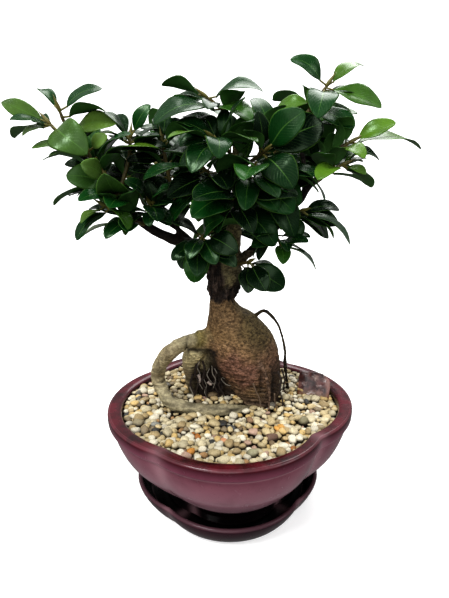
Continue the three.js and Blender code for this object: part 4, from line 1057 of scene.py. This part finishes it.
def packedPlaces(draws):
    # A jittered lattice whose pebbles push each other apart; the named pebbles come first and stay put.
    pitch = gravel["pitch"]
    jitter = gravel["jitter"]
    column, row = np.meshgrid(np.arange(-22, 23), np.arange(-24, 25))
    x = (pitch * (column + 0.5 * (row % 2))).ravel() + draws.uniform(-jitter, jitter, column.size) * pitch
    y = (pitch * gravel["rowStep"] * row).ravel() + draws.uniform(-jitter, jitter, column.size) * pitch
    size = np.exp(draws.normal(math.log(gravel["size"]), gravel["uneven"], len(x)))
    size = np.minimum(size, gravel["largest"])
    named = np.array([a[:3] for a in accents])
    place = np.vstack([named[:, :2], np.stack([x, y], -1)])
    size = np.concatenate([named[:, 2], size])
    fixed = np.arange(len(size)) < len(named)
    keep = (insidePot(place[:, 0], place[:, 1], 0) > -2) | fixed
    place, size, fixed = place[keep], size[keep], fixed[keep]
    for _ in range(gravel["rounds"]):
        apart = place[:, None] - place[None]
        gap = np.linalg.norm(apart, axis=2) + np.eye(len(place)) * 99
        wanted = gravel["touch"] * (size[:, None] + size[None])
        push = np.clip(wanted - gap, 0, None)[..., None] * apart / gap[..., None]
        inside = insidePot(place[:, 0], place[:, 1], 0.46 * size)
        inward = -unit(place) * np.clip(-inside, 0, 3)[:, None]
        place = place + np.where(fixed[:, None], 0, gravel["push"] * push.sum(axis=1) + inward)
    x, y = place.T
    keep = (insidePot(x, y, 0) > 0.3 * size) & (woodGap(x, y, 67) > 0.3 * size)
    return place[keep], size[keep], np.flatnonzero(keep[fixed])


def makeBed():
    # A low lobed cake: out over the top and back in underneath.
    over, under, around = (gravel[key] for key in ("over", "under", "around"))
    out = np.concatenate([np.linspace(0.02, 1, over), np.linspace(1, 0.02, under)])[:, None]
    angle = np.arange(around) * 2 * math.pi / around
    reach = out * gravel["edge"] * lobeReach(pot["circles"], angle, pot["soft"])
    x, y = reach * np.cos(angle), reach * np.sin(angle)
    bumps = 0.8 * smoothNoise(np.stack([x, y, 0 * x], -1), 3.5, 9)
    height = np.where(np.arange(len(out))[:, None] < over, gravelTop(x, y) - gravel["bedDrop"] + bumps,
                      gravel["bottom"])
    bed = np.stack([x, y, height], -1).reshape(-1, 3)
    ends = [[0, 0, gravelTop(0, 0) - gravel["bedDrop"]], [0, 0, gravel["bottom"]]]
    quads = gridFaces(len(out), around, wrapColumns=True)[:, ::-1]
    return np.vstack([bed, ends]), quads, poleFans(len(bed), around, flipped=True)


def makeGravel():
    draws = np.random.default_rng(gravel["seed"])
    place, size, special = packedPlaces(draws)
    # A second layer fills the gaps below: the same places moved half a pitch aside and a little back.
    below = place[len(special):] + [0.5 * gravel["pitch"], 0.29 * gravel["pitch"]]
    smaller = size[len(special):] * 0.95
    clear = (insidePot(*below.T, 0) > 0.5 * smaller) & (woodGap(*below.T, 64) > 0.3 * smaller)
    place, size = np.vstack([place, below[clear]]), np.concatenate([size, smaller[clear]])
    count = len(size)
    top = np.arange(count) < count - clear.sum()
    # Each pebble is the ball made squarer, lumpy and longer than high, then turned.
    form, tris = pebbleForm()
    shape = np.stack([draws.uniform(*gravel[key], count) for key in ("long", "wide", "high")], -1)
    where = form[None] * 0.9 + draws.uniform(0, 900, (count, 1, 3))
    lumps = 1 + gravel["lumps"] * smoothNoise(where, 1, 5)
    corners = np.sign(form) * np.abs(form) ** draws.uniform(*gravel["square"], (count, 1, 1))
    solid = corners * lumps[..., None] * shape[:, None] * size[:, None, None] / 2
    turns = turnMatrices(draws, draws.normal(0, gravel["lean"], count))
    turned = np.einsum("nij,nkj->nki", turns, solid)
    x, y = place.T
    rise = draws.uniform(*gravel["rise"], count) + 0.25 * (size - 5)
    height = gravelTop(x, y) + np.where(top, rise, -gravel["lower"])
    points = turned + np.stack([x, y, height], -1)[:, None]
    # How low a point lies on its pebble, more on the lower layer; it sets the painted shade.
    depth = np.clip(0.5 - turned[..., 2] / size[:, None] * 1.3 + 0.5 * ~top[:, None], 0, 1)
    faces = (tris[None] + (np.arange(count) * len(form))[:, None, None]).reshape(-1, 3)
    share = np.array(list(gravel["tints"].values()), float)
    palette = np.array([colour(name)[:3] for name in gravel["tints"]])
    picked = palette[draws.choice(len(palette), count, p=share / share.sum())]
    picked = picked * draws.uniform(*gravel["bright"], (count, 1))
    picked[:len(special)] = np.array([colour(a[3])[:3] for a in accents])[special]
    bundle = Bundle()
    bundle.add(points, np.zeros((0, 4), int), faces, kind=0, depth=depth.ravel(),
               tint=np.repeat(np.clip(picked, 0, 1), len(form), axis=0))
    bed, quads, poles = makeBed()
    bundle.add(bed, quads, poles, kind=1, depth=0.0, tint=np.ones((len(bed), 3)))
    addPiece("pebbles", bundle.mesh("pebbles"), [pebbleMaterial(), bedMaterial()], ["gravel"])
    print("gravel made:", count, "pebbles")


# The flat piece of translucent purple stone.

slab = {
    "corners": [(-12, 13), (-11, -7.5), (14, -9), (14, 8.5), (7, 14.5)], "thick": 5, "place": (63.3, 19, 72),
    "tilt": (62, 0, -24), "middle": (1, 3), "round": 22, "boxy": 0.34, "rows": 56, "around": 120,
    "uneven": 0.03, "bumps": 0.5,
    # Across which x the right edge takes a painted highlight, and across which heights the foot turns amber.
    "highlightFrom": (72.2, 75), "amberFrom": (73, 66),
    "deep": "2f1617", "clear": "754541", "pale": "b98f86", "white": "dccfc4", "amber": "a8762e",
}


def cornerReach(corners, middle, angle, soft):
    # The nearest side in each direction from the middle, with the corners rounded off.
    start = np.array(corners, float) - middle
    side = np.roll(start, -1, axis=0) - start
    outward = unit(np.stack([side[:, 1], -side[:, 0]], -1))
    distance = np.sum(outward * start, axis=1)
    facing = outward[:, :1] * np.cos(angle) + outward[:, 1:] * np.sin(angle)
    sides = np.where(facing > 0.05, distance[:, None] / np.maximum(facing, 0.05), 99)
    return (sides ** -soft).sum(axis=0) ** (-1 / soft)


def slabMaterial():
    # Dark and clear clouds with pale veins and painted white glints, a painted highlight at the right edge,
    # and amber at the foot.
    finish = Finish("purpleStone", Roughness=0.34, Transmission_Weight=0.3, IOR=1.5, Coat_Weight=0.12)
    place = finish.coords()
    split = finish.node("ShaderNodeSeparateXYZ", {"Vector": place}).outputs
    pale, amber = (np.array(slab[key]) * mm for key in ("highlightFrom", "amberFrom"))
    body = colour(slab["deep"])
    for key, size, detail, low, high, most in (
            ("clear", 8, 4, 0.4, 0.64, 1), ("pale", 6.5, 3, 0.55, 0.7, 0.6),
            ("white", 3.2, 3, 0.64, 0.72, 0.5)):
        share = finish.span(finish.noise(place, size, detail, 0.6), low, high, 0, most)
        body = finish.over(body, slab[key], share)
    # The pale right edge: a painted highlight.
    body = finish.over(body, slab["pale"], finish.span(split["X"], *pale, 0, 0.7))
    finish.paint(finish.over(body, slab["amber"], finish.span(split["Z"], *amber, 0, 0.6)))
    finish.relief(finish.noise(place, 6, 2), 0.2)
    return finish.material


def makeSlab():
    # Around the plate goes the reach of its five corners; over its edge goes a boxy half round. Large noise
    # gives the uneven faces, then the plate is tilted and put in its place.
    rows, around = slab["rows"], slab["around"]
    down = np.linspace(0.002, math.pi - 0.002, rows)[:, None]
    angle = np.arange(around) * 2 * math.pi / around
    reach = cornerReach(slab["corners"], slab["middle"], angle, slab["round"])
    out = np.sin(down) ** slab["boxy"]
    x = slab["middle"][0] + reach * out * np.cos(angle)
    y = slab["middle"][1] + reach * out * np.sin(angle)
    z = np.broadcast_to(slab["thick"] / 2 * np.sign(np.cos(down)) * np.abs(np.cos(down)) ** 0.5, x.shape)
    points = np.stack([x, y, z], -1).reshape(-1, 3)
    swell = slab["uneven"] * layeredNoise(points, 7, 3, 2)[:, None]
    points = points * (1 - slab["uneven"] + swell)
    points[:, 2] = points[:, 2] + slab["bumps"] * layeredNoise(points * [1, 1, 0.2], 6, 3, 17)
    a, b, c = np.radians(slab["tilt"])
    turnX = np.array([[1, 0, 0], [0, np.cos(a), -np.sin(a)], [0, np.sin(a), np.cos(a)]])
    turnY = np.array([[np.cos(b), 0, np.sin(b)], [0, 1, 0], [-np.sin(b), 0, np.cos(b)]])
    turnZ = np.array([[np.cos(c), -np.sin(c), 0], [np.sin(c), np.cos(c), 0], [0, 0, 1]])
    points = points @ (turnZ @ turnY @ turnX).T + np.array(slab["place"])
    last = len(points)
    ends = np.array([points[:around].mean(axis=0), points[-around:].mean(axis=0)])
    quads = gridFaces(rows, around, wrapColumns=True)[:, ::-1]
    mesh = makeMesh("purpleStone", np.vstack([points, ends]), quads, poleFans(last, around, flipped=True))
    addPiece("purpleStone", mesh, [slabMaterial()], ["stone_slab"])
    print("stone made")


# The earth keeps its solid form and takes a finish.

earth = {"dark": "1f1610", "light": "4a3826"}


def dressSoil():
    finish, place = crumbs("earth", (earth["dark"], earth["light"]), 4, 5, 0.7)
    finish.relief(finish.noise(place, 2.5, 5, 0.7), 0.8)
    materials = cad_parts["soil"].data.materials
    materials.clear()
    materials.append(finish.material)
    print("earth dressed")


# Leafy sprays. The leaves lie where the solid model has them, and each is read from its tip and from the
# ring of four points before it. The twigs are its twigs: the points, then tone from 0, dark, to 1, light.

twigs = {
    "outer_left": ([(-96, -13.5, 246.5), (-106, -15, 257), (-112, -16, 264)], 0.75),
    "left_top": ([(-88, -12, 240), (-96, -8, 253), (-103, -13, 263), (-105, -17, 271)], 0.45),
    "left_mid": ([(-82, -10, 232), (-86, -18, 239), (-88, -22, 247)], 0.8),
    "left_front": ([(-68, -6, 211), (-72, -16, 221), (-78, -20, 232)], 0.85),
    "left_low": ([(-58, -3, 202), (-66, -14, 206), (-74, -17, 211), (-80, -20, 215)], 0.8),
    "left_inner": ([(-75, -8, 220), (-67, -8, 243), (-65, -8, 257)], 0.35),
    "mid_left": ([(-39.5, 1, 219), (-43, -6, 240), (-45, -8, 254)], 0.3),
    "top_left": ([(2, 5, 263), (-7, -2, 274), (-17, -6, 281)], 0.4),
    "mid_front": ([(2, 7, 243), (-5, -14, 250), (-13, -28, 255)], 0.35),
    "front_left": ([(3, 9, 225), (-10, -14, 232), (-18, -28, 237)], 0.35),
    "front_low": ([(3, 11, 212), (0, -12, 218), (2, -24, 223)], 0.3),
    "low_left": ([(-20, 12, 187.5), (-22, -8, 193), (-18, -20, 198)], 0.2),
    "right_mid": ([(2, 7, 238), (15, -10, 245), (19, -20, 248)], 0.25),
    "front_right": ([(3, 9, 219), (8, -14, 231), (11, -26, 237)], 0.6),
    "right_inner": ([(19, 5, 220), (23, -8, 231), (26, -14, 238)], 0.2),
    "top_right": ([(44, 4, 268), (52, 0, 279), (58, -3, 288)], 0.5),
    "right_tip": ([(59, -3, 245), (66, -8, 250), (73, -10, 254)], 0.8),
    "right_low": ([(56, -2, 234), (62, -8, 237), (68, -12, 240)], 0.55),
    "lower_right": ([(38, 0, 213), (41, -6, 211), (44, -11, 212)], 0.35),
    "lower_mid": ([(28, 2, 199), (29, -4, 195), (31, -8, 191)], 0.35),
    "lowest_right": ([(-4, 13, 173), (8, 0, 176), (11, -5, 178)], 0.05),
    "twin_front": ([(-50, 4, 207), (-52, -8, 211), (-53, -16, 216)], 0.3),
    "twin_left": ([(-60, 2, 216), (-66, 10, 226), (-70, 18, 236)], 0.2),
    "rear_far_left": ([(-79, -9.5, 227), (-86, 6, 234), (-92, 18, 242)], 0.4),
    "rear_left_end": ([(-37, 43, 228), (-48, 50, 238), (-58, 54, 245)], 0.4),
    "rear_left_side": ([(-22, 32, 212), (-30, 48, 214), (-32, 60, 219)], 0.35),
    "rear_left_top": ([(-29, 37.5, 219), (-28, 35, 238), (-26, 32, 252)], 0.35),
    "rear_right_end": ([(39, 43, 236), (50, 48, 246), (60, 51, 252)], 0.45),
    "rear_right_side": ([(26, 35, 223), (28, 50, 224), (33, 62, 228)], 0.35),
    "rear_right_top": ([(33, 39.5, 229), (32, 34, 247), (29, 30, 261)], 0.35),
    "rear_top": ([(8, 31, 258), (10, 42, 264), (12, 52, 266)], 0.4),
    "rear_low": ([(1, 12.5, 196), (2, 30, 195), (-1, 45, 198)], 0.25),
    "rear_far_right": ([(50, 0, 227), (61, 12, 233), (70, 22, 243)], 0.4),
    "rear_top_right": ([(44.5, 4, 259), (50, 17, 268), (57, 27, 276)], 0.45),
}
leaf = {
    # The blade: its thickness in the solids, where their last ring lies and how wide it is there, then the
    # rows and half columns here, where the rows begin and end, thickness, height of the rib, depth of the
    # groove, droop and waves.
    "blade": 1.2, "lastRing": 0.72, "ringShare": 0.86, "rows": 13, "halfColumns": 7, "reach": (0.02, 0.985),
    "thick": 0.42, "rib": 0.55, "groove": 0.28, "droop": 0.035, "wave": 0.018, "petiole": 5.0,
    # Extra inner leaves: most in a spray, where the crown is dense and how far, turn from one to the next in
    # degrees, clearance, then ranges of length, spread from the twig in degrees and width for the length.
    "seed": 11, "extra": 10, "heart": (-15, 15, 226), "dense": (55, 70, 32), "turn": 137.5, "clear": 6,
    "tries": 16, "long": (18, 29), "spread": (48, 80), "wide": (0.25, 0.31), "innerShadeTone": 0.45,
    "dark": "03140a", "mid": "124618", "light": "648a29", "olive": "64803a", "under": "4c783c",
    "ribTint": "5f8a3e", "edgeHighlight": "76a848", "stalk": "7c7a3a", "twig": "5a4a2c", "stain": "33281a",
    "bud": "7d6536", "budTip": "6f7a3a",
    # The bud's radii from its foot to its tip, and the distances along it between which they lie.
    "budRadii": (0.8, 1.2, 1.35, 1.25, 1.05, 0.8, 0.55, 0.3, 0.08), "budReach": (-1, 9.5),
}

# Leaves lighter or darker than their spray, partly by age and partly as painted light and shade: lighter
# where lit or lit through, darker in shade. Where the tip is, and the tone.
namedLeaves = [(-137, -22, 275, 0.8), (-81, -24, 257, 1), (-111, -34, 243, 0.95), (-92, -34, 206, 0.9),
               (82, 4, 302, 0.8), (47, -34, 266, 0.35), (98, -16, 265, 0.9), (120, -4, 252, 0.85),
               (-45, -40, 262, 0.6), (-30, -20, 296, 0.25)]


def readLeaves(node):
    # Finds the points with just four neighbours, of which two opposite ones lie a blade's thickness apart.
    # The ring is square to the leaf, so its sides give across, its thickness up, and the tip the length.
    # Gives a row for each leaf: tip, along, up, length, half width, arch and fold.
    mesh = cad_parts[node].data
    places, index = np.unique(np.round(pointArray(mesh), 3), axis=0, return_inverse=True)
    corners = np.zeros(len(mesh.loops), np.int32)
    mesh.loops.foreach_get("vertex_index", corners)
    tris = index.ravel()[corners].reshape(-1, 3)
    pairs = np.unique(np.concatenate([tris[:, [0, 1]], tris[:, [1, 2]], tris[:, [2, 0]],
                                      tris[:, [1, 0]], tris[:, [2, 1]], tris[:, [0, 2]]]), axis=0)
    count = np.bincount(pairs[:, 0], minlength=len(places))
    start = np.concatenate([[0], np.cumsum(count)[:-1]])
    tips = np.flatnonzero(count == 4)
    ring = places[pairs[start[tips][:, None] + np.arange(4), 1]]
    tip = places[tips]
    found = []
    for thin, wide in (((0, 1), (2, 3)), ((0, 2), (1, 3)), ((0, 3), (1, 2)),
                       ((1, 2), (0, 3)), ((1, 3), (0, 2)), ((2, 3), (0, 1))):
        upright = ring[:, thin[1]] - ring[:, thin[0]]
        across = ring[:, wide[1]] - ring[:, wide[0]]
        height, width = (np.linalg.norm(v, axis=1) for v in (upright, across))
        fits = (np.abs(height - leaf["blade"]) < 0.02) & (width > 3.5)
        middle = ring[:, thin].mean(axis=1)
        edges = ring[:, wide].mean(axis=1)
        normal = unit(upright)
        normal = normal * np.sign(np.sum((edges - middle) * normal, axis=1))[:, None]
        side = unit(across)
        along = np.cross(side, normal)
        along = along * np.sign(np.sum((tip - middle) * along, axis=1))[:, None]
        ahead = np.sum((tip - middle) * along, axis=1)
        length = ahead / (1 - leaf["lastRing"])
        rise = np.sum((middle - tip) * normal, axis=1)
        arch = rise / (length * 4 * leaf["lastRing"] * (1 - leaf["lastRing"]))
        fold = np.sum((edges - middle) * normal, axis=1) / (width / 2)
        rows = np.concatenate([tip, along, normal, length[:, None], (width / 2 / leaf["ringShare"])[:, None],
                               arch[:, None], fold[:, None]], axis=1)
        found.append(rows[fits & (length > 8) & (fold > 0.05)])
    rows = np.concatenate(found)
    return rows[np.unique(np.round(rows[:, :3], 2), axis=0, return_index=True)[1]]


def extraLeaves(points, kept, draws, count, low, high):
    # More leaves by the growth rule, each about 137.5 degrees on from the one before, clear of the others and
    # inside the box of the solid spray.
    path = smoothPath(points, 24)
    heading = unit(path[-1] - path[0])
    side = unit(np.cross(heading, [0.2, 0.1, 1]))
    other = np.cross(heading, side)
    made = []
    for k in range(count * leaf["tries"]):
        if len(made) == count:
            break
        angle = k * math.radians(leaf["turn"]) + draws.uniform(-0.3, 0.3)
        stalk = path[int(draws.uniform(0.2, 1) * 23)]
        spread = math.radians(draws.uniform(*leaf["spread"]))
        outward = math.cos(angle) * side + math.sin(angle) * other
        along = math.cos(spread) * heading + math.sin(spread) * outward
        length = draws.uniform(*leaf["long"])
        tip = stalk + along * (length + 4)
        middle = stalk + along * (length * 0.55 + 4)
        others = np.array([row[:3] - row[3:6] * row[9] * 0.5 for row in [*kept, *made]])
        crowded = len(others) and np.min(np.linalg.norm(others - middle, axis=1)) < leaf["clear"]
        if crowded or np.any(tip < low) or np.any(tip > high):
            continue
        facing = np.array([draws.uniform(-0.4, 0.4), draws.uniform(-1.3, 0.1), 1])
        up = unit(facing - along * (facing @ along))
        made.append(np.array([*tip, *along, *up, length, length * draws.uniform(*leaf["wide"]),
                              draws.uniform(0.06, 0.14), draws.uniform(0.12, 0.24)]))
    return made


def leafSurface(rows, draws):
    # A leaf's point: base + s * length along + v * half width across + rise up. The half width is
    # sin(pi s) to a power that falls along the leaf, so the tip is blunt; the rise is an arch plus a fold
    # from the rib, and the tip droops. The two skins part by the thickness, which fades to the edge.
    steps, half = leaf["rows"], leaf["halfColumns"]
    lengthwise = (1 - np.cos(np.linspace(*leaf["reach"], steps) * math.pi)) / 2
    spread = np.sin(np.linspace(-1, 1, half) * math.pi / 2)
    crosswise = np.concatenate([spread, spread[-2:0:-1]])
    upper = np.concatenate([np.ones(half), -np.ones(half - 2)])
    upper[[0, half - 1]] = 0
    s, v, skin = lengthwise[None, :, None], crosswise[None, None], upper[None, None]
    tip, along, normal = rows[:, 0:3], rows[:, 3:6], rows[:, 6:9]
    length, width, arch, fold = (rows[:, i, None, None] for i in range(9, 13))
    side = np.cross(along, normal)
    base = tip - along * rows[:, 9, None]
    across = width * np.sin(math.pi * s ** 1.02) ** (0.68 - 0.18 * s) * v
    phase, turn, lean = (draws.uniform(-1, 1, (len(rows), 1, 1)) for _ in range(3))
    # The arch, the fold, the droop, the waves of the edge and a slight twist.
    rise = arch * length * 4 * s * (1 - s)
    rise = rise + fold * np.abs(across) * (1 - 0.35 * np.abs(v))
    rise = rise - leaf["droop"] * (1 + phase) * length * s ** 4
    rise = rise + leaf["wave"] * length * v ** 2 * np.sin(9 * s + 6 * phase + 1.5 * np.sign(v))
    rise = rise + 0.05 * across * turn * s
    # The groove is on both skins, the rib only below. The blade also bends a little sideways.
    groove = leaf["groove"] * np.exp(-(v / 0.16) ** 2) * (1 - s) ** 0.5
    body = leaf["thick"] / 2 * (1 - np.abs(v) ** 6) * skin
    rib = leaf["rib"] * np.exp(-(v / 0.12) ** 2) * (1 - 0.8 * s) * (skin < 0)
    sway = 0.05 * lean * length * np.sin(math.pi * s) ** 2
    place = (base[:, None, None] + along[:, None, None] * (s * length)[..., None]
             + side[:, None, None] * (across + sway)[..., None]
             + normal[:, None, None] * (rise - groove + body - rib)[..., None])
    # Each leaf's rings, then a pole at its base and one at its tip.
    count, columns = len(rows), len(crosswise)
    grid = place.reshape(count, -1, 3)
    start = grid[:, :columns].mean(axis=1, keepdims=True) - along[:, None] * 0.2
    end = grid[:, -columns:].mean(axis=1, keepdims=True) + along[:, None] * 0.25
    points = np.concatenate([grid, start, end], axis=1)
    each = points.shape[1]
    shift = (np.arange(count) * each)[:, None, None]
    faces = gridFaces(steps, columns, wrapColumns=True), poleFans(steps * columns, columns)
    quads, tris = ((part[None] + shift).reshape(-1, part.shape[1]) for part in faces)
    single = {"across": np.append(np.tile(0.5 + crosswise / 2, steps), [0.5, 0.5]),
              "along": np.append(np.repeat(lengthwise, columns), [0, 1]),
              "under": np.append(np.tile((1 - upper) / 2, steps), [0.5, 0.5])}
    values = {key: np.tile(value, count) for key, value in single.items()}
    return points.reshape(-1, 3), quads, tris, each, values


def leafMaterial():
    # Dark glossy green above with a light rib, faint side veins and a thin light edge that is a painted
    # highlight, and paler below.
    finish = Finish("leafSkin", Specular_IOR_Level=0.42, IOR=1.4, Specular_Tint=(0.68, 1.0, 0.62, 1.0))
    place = finish.coords()
    tone = finish.value("tone")
    off = finish.maths("ABSOLUTE", finish.maths("SUBTRACT", finish.value("across"), 0.5))
    along = finish.value("along")
    upperTone = finish.over(colour(leaf["dark"]), leaf["mid"], finish.span(tone, 0.0, 0.5))
    young = finish.over(colour(leaf["light"]), leaf["olive"], finish.value("olive"))
    upperTone = finish.mix(finish.span(tone, 0.5, 1.0), upperTone, young)
    mottled = finish.over(upperTone, leaf["dark"], finish.span(finish.noise(place, 9, 3), 0.35, 0.7, 0, 0.4))
    # Side veins run forward from the rib like the rungs of a ladder.
    ladder = finish.maths("SUBTRACT", finish.times(along, 13.0), finish.times(off, 9.0))
    wave = finish.maths("ABSOLUTE", finish.maths("SINE", finish.times(ladder, math.pi)))
    veins = finish.span(wave, 0.0, 0.22, 1.0, 0.0)
    veined = finish.over(mottled, leaf["ribTint"], finish.times(veins, 0.16))
    ribWidth = finish.span(along, 0.0, 1.0, 0.032, 0.006)
    rib = finish.span(finish.maths("DIVIDE", off, ribWidth), 0.5, 1.2, 0.5, 0.0)
    # The thin light edge: a painted highlight.
    edge = finish.span(off, 0.46, 0.485, 0, 0.38)
    edged = finish.over(finish.over(veined, leaf["ribTint"], rib), leaf["edgeHighlight"], edge)
    below = finish.over(colour(leaf["under"]), leaf["ribTint"], finish.times(veins, 0.3))
    below = finish.over(below, leaf["mid"], finish.span(finish.noise(place, 8, 3), 0.4, 0.7, 0, 0.35))
    under = finish.span(finish.value("under"), 0.5, 0.8)
    finish.paint(finish.mix(under, edged, below))
    finish.rough(finish.maths("ADD", finish.span(finish.noise(place, 6, 2), 0.3, 0.7, 0.17, 0.32),
                              finish.times(under, 0.25)))
    finish.relief(finish.maths("ADD", finish.times(veins, 0.5), finish.noise(place, 3, 2)), 0.07)
    return finish.material


def stalkMaterial():
    # Green-brown young bark, greener towards the leaves.
    finish = Finish("youngStem", Roughness=0.5)
    place = finish.coords()
    tint = finish.over(colour(leaf["twig"]), leaf["stalk"], finish.value("tone"))
    stains = finish.span(finish.noise(place, 2.2, 3), 0.45, 0.7, 0, 0.5)
    finish.paint(finish.over(tint, leaf["stain"], stains))
    finish.relief(finish.noise(place, 1.2, 3), 0.15)
    return finish.material


def budMaterial():
    finish = Finish("bud", Roughness=0.45)
    finish.paint(finish.over(colour(leaf["bud"]), leaf["budTip"], finish.noise(finish.coords(), 3, 3)))
    return finish.material


def addStems(bundle, line, rows):
    # The twig, a little knobbly, the bud at its end, and a petiole from the twig to each leaf.
    bare = {"across": 0.0, "along": 0.0, "under": 0.0, "olive": 0.0}
    path = smoothPath(line, 16)
    radii = np.linspace(1.45, 0.95, len(path)) * (1 + 0.1 * np.sin(np.arange(len(path)) * 2.1))
    bundle.add(*tube(path, radii, 8), kind=1, tone=0.25, **bare)
    ahead = np.linspace(*leaf["budReach"], len(leaf["budRadii"]))[:, None] * unit(path[-1] - path[-2])
    bundle.add(*tube(path[-1] + ahead, leaf["budRadii"], 8), kind=2, tone=0.5, **bare)
    for row in rows:
        tip, along, length = row[0:3], row[3:6], row[9]
        base = tip - along * length
        foot = base - along * (leaf["petiole"] if length > 15 else length / 3)
        near = path[np.argmin(np.linalg.norm(path - foot, axis=1))]
        stalk = smoothPath([near, foot * 0.5 + near * 0.5, base - along * 1.0, base + along * 0.6], 7)
        bundle.add(*tube(stalk, np.linspace(0.75, 0.5, 7), 6), kind=1, tone=0.85, **bare)


def makeSprays():
    # One piece for each solid spray: its leaves, the extra ones, and the stems.
    materials = [leafMaterial(), stalkMaterial(), budMaterial()]
    draws = np.random.default_rng(leaf["seed"])
    total = 0
    for name, (line, tone) in twigs.items():
        node = "spray_" + name
        rows = list(readLeaves(node))
        grown = len(rows)
        total += grown
        low, high = np.array(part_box(node)) / mm
        # The middle of the crown is dense, its ends are open.
        middle = np.linalg.norm((np.array(line[-1]) - leaf["heart"]) / leaf["dense"])
        count = round(leaf["extra"] * math.exp(-max(middle - 1, 0) / 0.8))
        rows = np.array(rows + extraLeaves(line, rows, draws, count, low, high))
        points, quads, tris, each, values = leafSurface(rows, draws)
        inner = np.arange(len(rows)) >= grown
        # Extra inner leaves are darker: partly older leaves, partly painted shade inside the crown.
        shade = np.clip(tone + draws.normal(0, 0.2, len(rows)), 0, 1) * np.where(inner, leaf["innerShadeTone"], 1)
        for x, y, z, named in namedLeaves:
            away = np.linalg.norm(rows[:grown, :3] - (x, y, z), axis=1)
            shade[:grown] = np.where(away < 9, named, shade[:grown])
        # The left end of the crown is the dullest green.
        dull = softStep(rows[:, 0], -40, -80)
        bundle = Bundle()
        bundle.add(points, quads, tris, kind=0, tone=np.repeat(shade, each), olive=np.repeat(dull, each),
                   **values)
        addStems(bundle, line, rows)
        mesh = bundle.mesh("spray" + name.title().replace("_", ""))
        addPiece(mesh.name, mesh, materials, [node])
    print("sprays made:", total, "leaves read from the solids")


makeStudio()
makePottery()
makeSlab()
makeGravel()
dressSoil()
makeWood()
makeFineRoots()
makeSprays()
